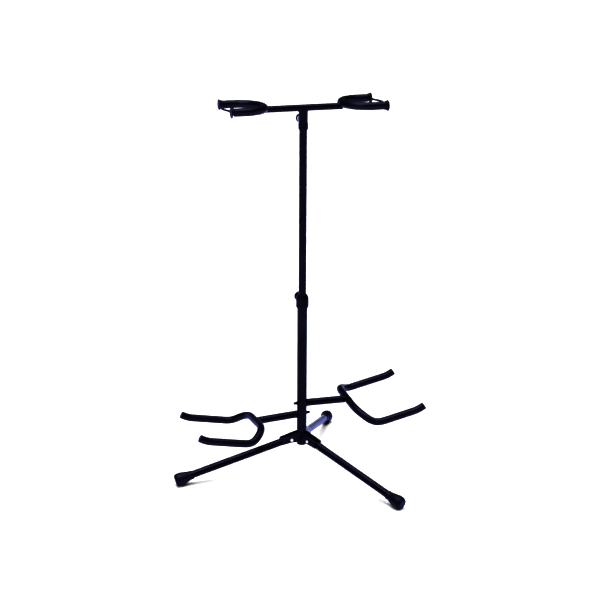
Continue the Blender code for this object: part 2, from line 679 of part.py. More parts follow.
def make_strap(name, frame, materials):
    """Rubber strap: an eye round one cap neck, a bowed band and a hook that drops over the other neck."""
    pivot = add_empty(name + "_pivot", (STRAP_PLACE, -YOKE_HALF, 0.0), (0.0, 0.0, 0.0), frame)
    half = STRAP_THICKNESS / 2.0
    ring = tube_outline(CAP_NECK_RADIUS + GAP, STRAP_RING_RADIUS, -half, half)
    strap = turned(name, ring, materials["rubber"], pivot, ALONG_X)
    hook_bore = CAP_NECK_RADIUS + HOOK_PLAY
    reach = YOKE_WIDTH
    root = CAP_NECK_RADIUS + 0.5 * (STRAP_RING_RADIUS - CAP_NECK_RADIUS)
    band_path = bowed_path(root, reach - root, STRAP_BOW)
    band = flat_band(name + "_band", band_path, pivot)
    hook = hook_solid(name + "_hook", hook_bore, reach, pivot)
    join(strap, band, hook)


def bowed_path(start, end, bow):
    """Stations (y, x) from start to end: the band leaves each end straight and bows out between them."""
    steps = 14
    stations = []
    for k in range(steps + 1):
        share = k / steps
        stations.append((start + (end - start) * share, bow * math.sin(math.pi * share) ** 2))
    return stations


def flat_band(name, stations, parent):
    """A strip of rectangular section along (y, x) stations."""
    mesh_data = bmesh.new()
    rings = []
    half_thick = STRAP_BAND_THICKNESS / 2.0
    half_tall = STRAP_BAND_HEIGHT / 2.0
    for y, x in stations:
        corners = ((-half_thick, -half_tall), (half_thick, -half_tall), (half_thick, half_tall), (-half_thick, half_tall))
        rings.append([mesh_data.verts.new((x + dx, y, dz)) for dx, dz in corners])
    for near, far in zip(rings, rings[1:]):
        for k in range(4):
            mesh_data.faces.new((near[k - 1], near[k], far[k], far[k - 1]))
    mesh_data.faces.new(rings[0])
    mesh_data.faces.new(rings[-1])
    return add_object(name, mesh_data, None, parent)


def hook_solid(name, bore, reach, parent):
    """An inverted U, open downwards, whose crown is half a ring about the far cap neck."""
    steps = 10
    angles = [math.pi * k / steps for k in range(steps + 1)]
    outer = [(reach + STRAP_RING_RADIUS * math.cos(a), STRAP_RING_RADIUS * math.sin(a)) for a in angles]
    inner = [(reach + bore * math.cos(a), bore * math.sin(a)) for a in reversed(angles)]
    legs_left = [(reach - STRAP_RING_RADIUS, -STRAP_HOOK_LEG), (reach - bore, -STRAP_HOOK_LEG)]
    legs_right = [(reach + bore, -STRAP_HOOK_LEG), (reach + STRAP_RING_RADIUS, -STRAP_HOOK_LEG)]
    outline = outer + legs_left + inner + legs_right
    mesh_data = bmesh.new()
    half = STRAP_THICKNESS / 2.0
    near = [mesh_data.verts.new((-half, y, z)) for y, z in outline]
    face = mesh_data.faces.new(near)
    grown = bmesh.ops.extrude_face_region(mesh_data, geom=[face])
    far = [item for item in grown["geom"] if isinstance(item, bmesh.types.BMVert)]
    bmesh.ops.translate(mesh_data, vec=(STRAP_THICKNESS, 0.0, 0.0), verts=far)
    return add_object(name, mesh_data, None, parent)


def make_yoke(side, materials):
    frame = yoke_frame(f"yoke_{side}_frame", side)
    front_hand = 1.0 if side == "left" else -1.0
    rod_end = YOKE_END
    for place, hand in (("front", front_hand), ("rear", -front_hand)):
        rod_end = make_yoke_cap(f"yoke_{side}_{place}_cap", hand, frame, materials)
        path = yoke_half_path(hand, GAP / 2.0, YOKE_END)
        pad = swept(f"yoke_{side}_{place}_pad", path, PAD_RADIUS, YOKE_ROD_RADIUS + GAP, materials["foam"], frame)
        notch = rod(f"yoke_{side}_{place}_notch", BAR_RADIUS + GAP, 0.0, BAR_HALF_LENGTH + GAP, frame, ALONG_X,
                    (0.0, 0.0, -YOKE_RISE))
        cut(pad, notch)
    swept(f"yoke_{side}_rod", yoke_rod_path(rod_end), YOKE_ROD_RADIUS, None, materials["paint"], frame, BORE_SIDES)
    make_strap(f"yoke_{side}_strap", frame, materials)


# ---- cradles ----------------------------------------------------------------------------------------------
def cradle_frame(name, side):
    height = COLUMN_BOTTOM + CRADLE_HEIGHTS[side]
    rotation = (CRADLE_TURNS[side], CRADLE_DROOPS[side], math.radians(CRADLE_AZIMUTHS[side]))
    return add_empty(name, (0.0, 0.0, height), rotation)


def fork_side_view(length):
    """Where a length along the flat U lies once it is folded: down to the heel, up the arm and the tip."""
    headings = (-FORK_DIP_ANGLE, FORK_ARM_RISE, FORK_TIP_RISE)
    runs = (FORK_DIP, FORK_ARM, 2.0 * FORK_TIP)
    corners = [Vector((FORK_BACK, 0.0, 0.0))]
    for heading, run in zip(headings, runs):
        corners.append(corners[-1] + Vector((math.cos(heading), 0.0, math.sin(heading))) * run)
    profile = bent_path(corners, (FORK_HEEL_BEND, FORK_TIP_BEND))
    for before, after in zip(profile, profile[1:]):
        run = (after - before).length
        if length <= run:
            break
        length -= run
    return before + (after - before) * (length / run)


def fork_half_path(hand, start, spare):
    """Axis of half a fork: a U bent flat, then folded across its arms at the heel and at the tips."""
    half = FORK_WIDTH / 2.0
    reach = FORK_DIP + FORK_ARM + FORK_TIP - spare
    flat = bent_path(((0.0, start, 0.0), (0.0, half, 0.0), (reach, half, 0.0)), (FORK_CORNER_BEND,))
    flat[-1:] = fork_arm_stations(flat[-2].x, reach, half)
    path = []
    for point in flat:
        folded = fork_side_view(point.x)
        path.append(Vector((folded.x, hand * point.y, folded.z)))
    return path


def fork_arm_stations(start, end, half):
    """Stations on the straight part of an arm: close together where it is bent at the tip, else far apart."""
    knee = FORK_DIP + FORK_ARM
    bend = FORK_TIP_BEND * math.tan((FORK_TIP_RISE - FORK_ARM_RISE) / 2.0)
    places = (0.5 * (start + knee), knee - bend, knee, knee + bend, end)
    return [Vector((place, half, 0.0)) for place in places if start < place <= end]


def make_cradle_fixings(side, frame, materials):
    """Saddle, arm, arm plug, stud and cap nut, in order along the stud."""
    bore = STUD_RADIUS + GAP
    saddle_outline = tube_outline(bore, ARM_RADIUS, 0.5 * COLUMN_RADIUS, ARM_START - GAP)
    saddle = turned(f"cradle_{side}_saddle", saddle_outline, materials["plastic"], frame, ALONG_X)
    seat_frame = add_empty(f"cradle_{side}_seat_frame", (0.0, 0.0, 0.0))
    cut(saddle, rod(f"cradle_{side}_saddle_seat", COLUMN_RADIUS + GAP, 0.0, COLUMN_TOP, seat_frame, ALONG_Z))
    arm_bore = ARM_RADIUS - ARM_WALL
    arm_outline = (
        (arm_bore, ARM_START),
        (ARM_RADIUS, ARM_START),
        (ARM_RADIUS, ARM_END),
        (0.0, ARM_END),
        (0.0, ARM_END - ARM_WALL),
        (arm_bore, ARM_END - ARM_WALL),
    )
    turned(f"cradle_{side}_arm", arm_outline, materials["paint"], frame, ALONG_X)
    plug_end = ARM_START + GAP + STUD_GRIP
    plug_outline = tube_outline(bore, arm_bore - GAP, ARM_START + GAP, plug_end)
    turned(f"cradle_{side}_arm_plug", plug_outline, materials["zinc"], frame, ALONG_X)
    nut_seat = -(COLUMN_RADIUS + GAP + STUD_RADIUS * math.tan(CRADLE_DROOPS[side]))
    nut_end = nut_seat - CAP_NUT_LENGTH
    stud_end = nut_end + 0.35 * CAP_NUT_LENGTH
    stud_outline = ((0.0, stud_end), (STUD_RADIUS, stud_end), (STUD_RADIUS, plug_end), (0.0, plug_end))
    turned(f"cradle_{side}_stud", stud_outline, materials["zinc"], frame, ALONG_X, sides=SMALL_SIDES)
    nut_outline = (
        (0.0, nut_end),
        (CAP_NUT_RADIUS - CAP_NUT_CROWN, nut_end + 0.0002),
        (CAP_NUT_RADIUS, nut_end + CAP_NUT_CROWN),
        (CAP_NUT_RADIUS, nut_seat),
        (bore, nut_seat),
        (bore, stud_end - GAP),
        (0.0, stud_end - GAP),
    )
    turned(f"cradle_{side}_cap_nut", nut_outline, materials["paint"], frame, ALONG_X, sides=SMALL_SIDES)


def make_fork(side, frame, materials):
    """Bent tube, a foam sleeve on each half, and a plug in each tip."""
    front_hand = 1.0 if side == "left" else -1.0
    far_half = fork_half_path(front_hand, 0.0, TIP_PLUG_FLANGE + GAP)
    near_half = fork_half_path(-front_hand, 0.0, TIP_PLUG_FLANGE + GAP)
    swept(f"cradle_{side}_fork", near_half[:0:-1] + far_half[1:], FORK_ROD_RADIUS, FORK_ROD_BORE,
          materials["paint"], frame, BORE_SIDES)
    for place, hand in (("front", front_hand), ("rear", -front_hand)):
        path = fork_half_path(hand, GAP / 2.0, TIP_PLUG_FLANGE + GAP)
        pad = swept(f"cradle_{side}_{place}_pad", path, PAD_RADIUS, FORK_ROD_RADIUS + GAP, materials["foam"], frame)
        cut(pad, rod(f"cradle_{side}_{place}_notch", ARM_RADIUS + GAP, 0.0, ARM_END + GAP, frame))
        make_tip_plug(f"cradle_{side}_{place}_tip", path, frame, materials)


def make_tip_plug(name, path, frame, materials):
    """A disc that closes the end of the pad, with a stem inside the fork's tube."""
    direction = (path[-1] - path[-2]).normalized()
    turn = direction.to_track_quat("Z", "Y").to_matrix().to_4x4()
    stem = FORK_ROD_BORE - GAP
    outline = (
        (0.0, -PLUG_DEPTH / 2.0),
        (stem, -PLUG_DEPTH / 2.0),
        (stem, GAP),
        (PAD_RADIUS, GAP),
        (PAD_RADIUS, GAP + 0.7 * TIP_PLUG_FLANGE),
        (0.9 * PAD_RADIUS, GAP + TIP_PLUG_FLANGE),
        (0.0, GAP + TIP_PLUG_FLANGE),
    )
    turned(name, outline, materials["rubber"], frame, turn, path[-1], PAD_SIDES)


def make_cradle(side, materials):
    frame = cradle_frame(f"cradle_{side}_axis", side)
    make_cradle_fixings(side, frame, materials)
    make_fork(side, frame, materials)


# ---- the stand --------------------------------------------------------------------------------------------
def centre_footprint():
    """Shift the stand along X so that the middle of its outline, seen from above, lies over the origin."""
    bpy.context.view_layer.update()
    graph = bpy.context.evaluated_depsgraph_get()
    reach = []
    for thing in bpy.data.objects:
        if thing.type == "MESH" and not thing.hide_render:
            shape = thing.evaluated_get(graph).to_mesh()
            reach += [(thing.matrix_world @ vertex.co).x for vertex in shape.vertices]
    stand = add_empty("stand", (-(min(reach) + max(reach)) / 2.0, 0.0, 0.0))
    for thing in bpy.data.objects:
        if thing.parent is None and thing != stand:
            thing.parent = stand


def clear_scene():
    for thing in list(bpy.data.objects):
        bpy.data.objects.remove(thing, do_unlink=True)


def main():
    clear_scene()
    materials = make_materials()
    make_tripod(materials)
    make_column(materials)
    make_mast(materials)
    make_bush(materials)
    make_collar(materials)
    screw_tip = MAST_RADIUS + GAP
    make_thumb_screw("height", CLAMP_SCREW_HEIGHT, screw_tip, CLAMP_BOSS_REACH + GAP, CLAMP_KNOB_RADIUS, materials)
    make_crossbar(materials)
    make_head_sleeve(materials)
    make_ferrule(materials)
    make_thumb_screw("head", HEAD_SCREW_HEIGHT, screw_tip, HEAD_NUT_REACH + GAP, HEAD_KNOB_RADIUS, materials)
    for side in SIDES:
        make_yoke(side, materials)
        make_cradle(side, materials)
    centre_footprint()


main()
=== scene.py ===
import json
import math

import bmesh
import bpy
import numpy as np
from mathutils import Matrix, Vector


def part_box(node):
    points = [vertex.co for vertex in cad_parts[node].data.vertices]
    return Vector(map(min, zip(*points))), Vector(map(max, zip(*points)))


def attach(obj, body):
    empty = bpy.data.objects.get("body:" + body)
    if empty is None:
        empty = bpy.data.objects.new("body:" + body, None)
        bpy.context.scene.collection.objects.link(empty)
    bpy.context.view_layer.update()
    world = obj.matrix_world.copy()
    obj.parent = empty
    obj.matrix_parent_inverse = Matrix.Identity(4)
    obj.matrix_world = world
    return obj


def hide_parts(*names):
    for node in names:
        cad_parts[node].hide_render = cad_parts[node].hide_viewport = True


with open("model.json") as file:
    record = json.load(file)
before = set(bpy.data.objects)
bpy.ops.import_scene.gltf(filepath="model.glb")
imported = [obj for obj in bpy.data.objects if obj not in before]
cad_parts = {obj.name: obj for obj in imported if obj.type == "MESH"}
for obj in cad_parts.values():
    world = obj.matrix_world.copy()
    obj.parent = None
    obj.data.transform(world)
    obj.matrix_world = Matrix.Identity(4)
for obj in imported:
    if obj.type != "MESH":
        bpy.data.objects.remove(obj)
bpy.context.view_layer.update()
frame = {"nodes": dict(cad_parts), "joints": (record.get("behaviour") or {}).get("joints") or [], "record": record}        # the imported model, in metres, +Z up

joints = {joint["name"]: joint for joint in frame["joints"]}
sides = ("left", "right")
upward = np.array((0.0, 0.0, 1.0))
quarterTurn, fullTurn = 0.5 * math.pi, 2.0 * math.pi
gap = 0.0003             # room between neighbouring pieces
slip = 0.0001            # room between pieces that lie against each other
print("frame loaded:", len(frame["nodes"]), "nodes")


# noise mixes colour and shade; rough is the range of the roughness, grain the size of the bumps, depth their
# height, and tint the colour of the grazing highlight
finishSpec = {
    "paint": {"colour": (0.0040, 0.0036, 0.0090), "shade": (0.0022, 0.0019, 0.0052), "rough": (0.21, 0.29),
              "metal": 0.85, "grain": 0.0012, "depth": 0.000020, "tint": (0.50, 0.53, 1.0), "specular": 0.18,
              "sheen": 0.0, "slot": "powder_coat"},
    "nylon": {"colour": (0.0042, 0.0038, 0.0082), "shade": (0.0022, 0.0020, 0.0048), "rough": (0.34, 0.48),
              "metal": 0.75, "grain": 0.0006, "depth": 0.000025, "tint": (0.42, 0.42, 1.0), "specular": 0.12,
              "sheen": 0.01, "slot": "nylon"},
    "rubber": {"colour": (0.0040, 0.0036, 0.0086), "shade": (0.0062, 0.0058, 0.0116), "rough": (0.36, 0.52),
               "metal": 0.75, "grain": 0.0009, "depth": 0.000035, "tint": (0.42, 0.44, 1.0), "specular": 0.14,
               "sheen": 0.02, "slot": "rubber"},
    "foam": {"colour": (0.0038, 0.0033, 0.0086), "shade": (0.0058, 0.0053, 0.0118), "rough": (0.28, 0.40),
             "metal": 0.75, "grain": 0.0014, "depth": 0.000060, "tint": (0.48, 0.50, 1.0), "specular": 0.14,
             "sheen": 0.03, "slot": "foam"},
    "zinc": {"colour": (0.80, 0.81, 0.86), "shade": (0.60, 0.61, 0.66), "rough": (0.36, 0.52),
             "metal": 1.0, "grain": 0.0004, "depth": 0.000015, "tint": (1.0, 1.0, 1.0), "specular": 0.5,
             "sheen": 0.0, "slot": "zinc"},
}
patternSpec = {
    "cloud": (22.0, 5.0),           # scale and detail of the broad unevenness of a finish
    "cloudRange": (0.35, 0.65),     # where its shade ends and its colour begins
    "smear": (90.0, 3.0),           # handling marks, seen in the gloss only
    "grainDetail": 2.0,             # orange peel, moulded grain or foam cells
    "bump": 0.6,
    "sheenRough": 0.32,
}


def addNoise(tree, place, scale, detail):
    noise = tree.nodes.new("ShaderNodeTexNoise")
    noise.inputs["Scale"].default_value = scale
    noise.inputs["Detail"].default_value = detail
    tree.links.new(place.outputs["Object"], noise.inputs["Vector"])
    return noise


def makeFinish(name, spec):
    # colour, roughness and a fine grain all come from noise on Object coordinates
    material = bpy.data.materials.new(name)
    material.use_nodes = True
    tree = material.node_tree
    nodes, links = tree.nodes, tree.links
    shader = nodes["Principled BSDF"]
    shader.inputs["Metallic"].default_value = spec["metal"]
    shader.inputs["Specular IOR Level"].default_value = spec["specular"]
    shader.inputs["Specular Tint"].default_value = (*spec["tint"], 1.0)
    shader.inputs["Sheen Weight"].default_value = spec["sheen"]
    shader.inputs["Sheen Roughness"].default_value = patternSpec["sheenRough"]
    shader.inputs["Sheen Tint"].default_value = (*spec["tint"], 1.0)
    place = nodes.new("ShaderNodeTexCoord")
    cloud = addNoise(tree, place, *patternSpec["cloud"])
    colour = nodes.new("ShaderNodeValToRGB")
    for stop, spot, mixed in zip(colour.color_ramp.elements, patternSpec["cloudRange"], ("shade", "colour")):
        stop.position = spot
        stop.color = (*spec[mixed], 1.0)
    links.new(cloud.outputs["Fac"], colour.inputs["Fac"])
    links.new(colour.outputs["Color"], shader.inputs["Base Color"])
    smear = addNoise(tree, place, *patternSpec["smear"])
    rough = nodes.new("ShaderNodeMapRange")
    rough.inputs["To Min"].default_value, rough.inputs["To Max"].default_value = spec["rough"]
    links.new(smear.outputs["Fac"], rough.inputs["Value"])
    links.new(rough.outputs["Result"], shader.inputs["Roughness"])
    grain = addNoise(tree, place, 1.0 / spec["grain"], patternSpec["grainDetail"])
    bump = nodes.new("ShaderNodeBump")
    bump.inputs["Strength"].default_value = patternSpec["bump"]
    bump.inputs["Distance"].default_value = spec["depth"]
    links.new(grain.outputs["Fac"], bump.inputs["Height"])
    links.new(bump.outputs["Normal"], shader.inputs["Normal"])
    return material


finishes = {name: makeFinish(name, spec) for name, spec in finishSpec.items()}
finishOfSlot = {spec["slot"]: finishes[name] for name, spec in finishSpec.items()}
for part in frame["record"]["subparts"]:
    if part["material_slot"] in finishOfSlot:
        mesh = frame["nodes"][part["node"]].data
        mesh.materials.clear()
        mesh.materials.append(finishOfSlot[part["material_slot"]])
print("finishes ready:", ", ".join(finishes))


almostStraight = 1.56    # half of a corner's angle, past which the corner stays as it is


def unit(vectors):
    # each vector divided by its own length
    return vectors / np.linalg.norm(vectors, axis=-1, keepdims=True)


def roundCorners(points, radii, steps=6):
    # straight runs, with an arc at each inner corner whose centre lies radius / sin(half the angle) from it
    points = np.asarray(points, float)
    chain = [points[:1]]
    for before, corner, after, radius in zip(points, points[1:], points[2:], radii):
        towards, away = unit(before - corner), unit(after - corner)
        half = 0.5 * math.acos(float(np.clip(towards @ away, -1.0, 1.0)))
        if radius <= 0.0 or half > almostStraight:
            chain.append(corner[None])
            continue
        middle = unit(towards + away)
        centre = corner + middle * radius / math.sin(half)
        sweep = quarterTurn - half
        angles = np.linspace(-sweep, sweep, 2 * steps + 1)[:, None]
        across = unit(away - towards)
        chain.append(centre + radius * (across * np.sin(angles) - middle * np.cos(angles)))
    chain.append(points[-1:])
    return np.concatenate(chain)


def lengthsAlong(points):
    # distance of each point from the first one, measured along the chain
    return np.concatenate(([0.0], np.cumsum(np.linalg.norm(np.diff(points, axis=0), axis=1))))


def evenly(points, spacing):
    # the same chain with points at equal distances along it
    along = lengthsAlong(points)
    stations = np.linspace(0.0, along[-1], max(2, int(math.ceil(along[-1] / spacing)) + 1))
    return np.stack([np.interp(stations, along, points[:, k]) for k in range(points.shape[1])], axis=1)


def softened(points, width):
    # mean of the nearest points along the chain, which takes the stiffness out of its bends
    half = max(1, width // 2)
    steps = np.arange(half, 0, -1)[:, None]
    before = points[0] - steps * (points[1] - points[0])
    after = points[-1] + steps[::-1] * (points[-1] - points[-2])
    longer = np.concatenate((before, points, after))
    weights = np.ones(2 * half + 1) / (2 * half + 1)
    return np.stack([np.convolve(longer[:, k], weights, "valid") for k in range(points.shape[1])], axis=1)


def axisFrame(origin, direction):
    # the origin, the direction, a level side square to it, and the upper direction square to both
    direction = unit(np.asarray(direction, float))
    upright = abs(direction @ upward) >= 0.99
    side = np.array((0.0, 1.0, 0.0)) if upright else unit(np.cross(upward, direction))
    return np.asarray(origin, float), direction, side, np.cross(direction, side)


def place(local, origin, along, side, above):
    # point = origin + first value * along + second * side + third * above
    return origin + local[..., :1] * along + local[..., 1:2] * side + local[..., 2:] * above


def ringAngles(count):
    return np.linspace(0.0, fullTurn, count, endpoint=False)


def turned(along, radius, angles, axis):
    # point = along * axis + radius * (cos angle * side + sin angle * above)
    return place(np.stack((along, radius * np.cos(angles), radius * np.sin(angles)), axis=-1), *axis)


def spun(profile, axis, count=64, ripple=None):
    # a profile of (along, radius) turned about an axis; ripple is taken off the radius
    profile = np.asarray(profile, float)
    angles = ringAngles(count)
    along, radius = (np.repeat(profile[:, k:k + 1], count, axis=1) for k in (0, 1))
    if ripple is not None:
        radius = radius - ripple(radius, angles)
    return turned(along, radius, angles, axis)


def carried(path, normals, radii, count):
    # ring carried along a path: point = path + radius * (cos angle * normal + sin angle * tangent x normal)
    tangents = unit(np.gradient(path, axis=0))
    normals = unit(normals - tangents * np.sum(normals * tangents, axis=1, keepdims=True))
    binormals = np.cross(tangents, normals)
    angles = ringAngles(count)[None, :, None]
    ring = normals[:, None] * np.cos(angles) + binormals[:, None] * np.sin(angles)
    return path[:, None] + radii[..., None] * ring


def withPoles(grid):
    # a point in the middle of each end closes a carried section
    ends = [np.broadcast_to(grid[row].mean(axis=0), (1, *grid.shape[1:])) for row in (0, -1)]
    return np.concatenate((ends[0], grid, ends[1]))


def roundedEnds(grid, edge, steps=4):
    # both ends of a carried ring turn in over a quarter circle of radius edge and close in their middle
    turns = np.linspace(0.0, quarterTurn, steps + 1)[1:, None, None]
    caps = []
    for ring, inner in ((grid[0], grid[1]), (grid[-1], grid[-2])):
        middle = ring.mean(axis=0)
        outward = unit(middle - inner.mean(axis=0))
        spokes = ring - middle
        radius = np.linalg.norm(spokes, axis=1).mean()
        share = 1.0 - edge * (1.0 - np.cos(turns)) / radius
        caps.append(np.concatenate((middle + spokes * share + outward * edge * np.sin(turns),
                                    np.broadcast_to(middle + outward * edge, (1, *ring.shape)))))
    return np.concatenate((caps[0][::-1], grid, caps[1]))


def shell(grid, loop=False, around=True):
    # points and quads of one grid; loop joins its last row to its first, and around its last column
    rows, columns = grid.shape[:2]
    index = np.arange(rows * columns).reshape(rows, columns)
    if loop:
        index = np.concatenate((index, index[:1]))
    if around:
        index = np.concatenate((index, index[:, :1]), axis=1)
    quads = np.stack((index[:-1, :-1], index[:-1, 1:], index[1:, 1:], index[1:, :-1]), axis=-1)
    return grid.reshape(-1, 3), quads.reshape(-1, 4)


def addPiece(name, shells, finish, body, nodes, sharp=38.0, floor=None):
    # one object from one or more shells, closed at its poles and facing out, riding on its body
    points = np.concatenate([part[0] for part in shells])
    starts = np.cumsum([0] + [len(part[0]) for part in shells[:-1]])
    quads = np.concatenate([part[1] + start for part, start in zip(shells, starts)])
    if floor is not None:
        points[:, 2] = np.maximum(points[:, 2], floor)
    mesh = bpy.data.meshes.new(name)
    mesh.from_pydata(points.tolist(), [], quads.tolist())
    form = bmesh.new()
    form.from_mesh(mesh)
    bmesh.ops.remove_doubles(form, verts=form.verts, dist=1e-7)
    bmesh.ops.dissolve_degenerate(form, edges=form.edges, dist=1e-8)
    bmesh.ops.recalc_face_normals(form, faces=form.faces)
    form.to_mesh(mesh)
    form.free()
    mesh.shade_smooth()
    mesh.set_sharp_from_angle(angle=math.radians(sharp))
    mesh.materials.append(finishes[finish])
    piece = bpy.data.objects.new(name, mesh)
    bpy.context.scene.collection.objects.link(piece)
    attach(piece, body)
    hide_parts(*nodes)
    return piece


def middleOf(node):
    # the middle of a node's box and the box's size
    low, high = (np.array(corner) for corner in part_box(node))
    return (low + high) / 2.0, high - low


def tubeOutline(start, end, radius, wall, inset, spacing):
    # outside and inside of a tube as one closed loop of (along, radius), with rounded rims
    edge = tubeSpec["edge"]
    bore = radius - wall
    corners = ((start, bore), (start, radius), (end, radius), (end, bore), (start, bore))
    outline = roundCorners(corners, (edge, edge, edge), 3)[:-1]
    return withRows(outline, start + inset, end - inset, radius, spacing)


def withRows(outline, start, end, radius, spacing):
    # rows of the same radius, put into an outline between its points before and after their middle
    rows = evenly(np.array(((start, radius), (end, radius))), spacing)
    cut = int(np.argmax(outline[:, 0] > (start + end) / 2.0))
    return np.concatenate((outline[:cut], rows, outline[cut:]))


tubeSpec = {
    "edge": 0.0004,                 # rounding of every rim
    "column": {"node": "column_tube", "wall": 0.0015, "body": "base"},
    "mast": {"node": "mast_tube", "wall": 0.0012, "body": "mast"},
    "inset": 0.002,                 # from a rim to the first row
    "spacing": 0.02,                # of the rows
}
legSpec = {
    "slope": math.radians(14.4),    # of an open leg
    "radius": 0.0095,
    "wall": 0.0012,
    "stub": 0.0058,                 # behind the rivet
    "length": 0.296,                # from the rivet to the end of the leg, inside its foot
    "short": 0.001,                 # the tube stops this far short of that
    "taper": 0.003,                 # length of the drawn-in end behind the rivet
    "taperDepth": (0.0018, 0.0016),         # outside and inside
    "rounding": (0.0003, 0.002, 0.0004, 0.0004, 0.002),
    "inset": 0.004,                 # from the rivet, and from the leg's end, to the first row
    "spacing": 0.012,               # of the rows
}
footSpec = {
    "grip": 0.037,                  # length of leg inside the foot
    "mouth": ((0.012, 0.0097), (0.0002, 0.0099)),       # inside the neck, along and radius as in the outline
    "outline": ((0.0002, 0.0099), (0.0002, 0.0108), (0.0022, 0.0112), (0.0046, 0.0109), (0.0120, 0.0121),
                (0.0215, 0.0146), (0.0305, 0.0163), (0.0398, 0.0163), (0.0462, 0.0134), (0.0469, 0.0100),
                (0.0462, 0.0)),
    "rounding": (0.0004, 0.0009, 0.0009, 0.02, 0.02, 0.012, 0.0028, 0.0016, 0.002),
    "ridges": 3,                    # soft grip rings near the mouth
    "ridgeStart": 0.006,
    "ridgePitch": 0.0032,
    "ridgeHeight": 0.00022,
}
bracketSpec = {
    "pivot": 0.029,                 # rivet from the column's axis
    "length": 0.0553,               # end of the web from the column's axis
    "sheet": 0.0016,
    "halfWidth": 0.0116,
    "bend": 0.0036,
    "rise": math.radians(1.5),      # of the web over the leg's slope
    "heel": 0.0074,                 # flange below the rivet
    "skirt": 0.0050,                # flange below the leg's axis at the end of the web
    "back": 0.0004,                 # room to the column and to the next bracket
    "rows": 25,
    "flangeRows": 7,
    "edge": 0.00035,
}
rivetSpec = {"radius": 0.0035, "height": 0.0022, "washer": 0.0037, "washerHeight": 0.0005}

columnMiddle, columnSize = middleOf("column_tube")
columnRadius = columnSize[0] / 2.0


def legFrame(side):
    # rivet, direction, side and upper direction of a leg, and the level direction that it points in
    joint = joints[f"{side}_leg_fold"]
    turn = joint["axis"]
    outward = np.array((turn[1], -turn[0], 0.0))
    direction = outward * math.cos(legSpec["slope"]) - upward * math.sin(legSpec["slope"])
    return axisFrame(joint["pos_m"], direction), outward


def makeLeg(side):
    # tube turned from one closed outline, drawn in a little behind the rivet
    spec = legSpec
    start, end = -spec["stub"], spec["length"] - spec["short"]
    radius, bore = spec["radius"], spec["radius"] - spec["wall"]
    outerTaper, innerTaper = spec["taperDepth"]
    full = spec["taper"] - spec["stub"]
    outside = ((start, bore - innerTaper), (start, radius - outerTaper), (full, radius), (end, radius))
    inside = ((end, bore), (full, bore), (start, bore - innerTaper))
    outline = roundCorners(outside + inside, spec["rounding"])[:-1]
    outline = withRows(outline, spec["inset"], spec["length"] - spec["inset"], radius, spec["spacing"])
    grid = spun(outline, legFrame(side)[0])
    addPiece(f"legTube.{side}", [shell(grid, loop=True)], "paint", f"{side}_leg", [f"leg_{side}"])


def makeFoot(side):
    # moulded foot: a neck that flares to a round pad, its lowest part worn level with the floor;
    # grip rings on the neck: radius + ridge height * sin(2 pi * distance / pitch)
    spec = footSpec
    outline = roundCorners(spec["outline"], spec["rounding"], 5)
    distance = outline[:, 0] - spec["ridgeStart"]
    rings = spec["ridgeHeight"] * np.sin(distance / (spec["ridgePitch"] / 2.0) * math.pi)
    onNeck = (distance > 0.0) & (distance < spec["ridgePitch"] * spec["ridges"])
    outline[:, 1] += np.where(onNeck, rings, 0.0)
    outline = np.concatenate((spec["mouth"], outline)) + (legSpec["length"] - spec["grip"], 0.0)
    grid = spun(outline, legFrame(side)[0], 72)
    addPiece(f"footPad.{side}", [shell(grid)], "rubber", f"{side}_leg", [f"foot_{side}"], floor=0.0)


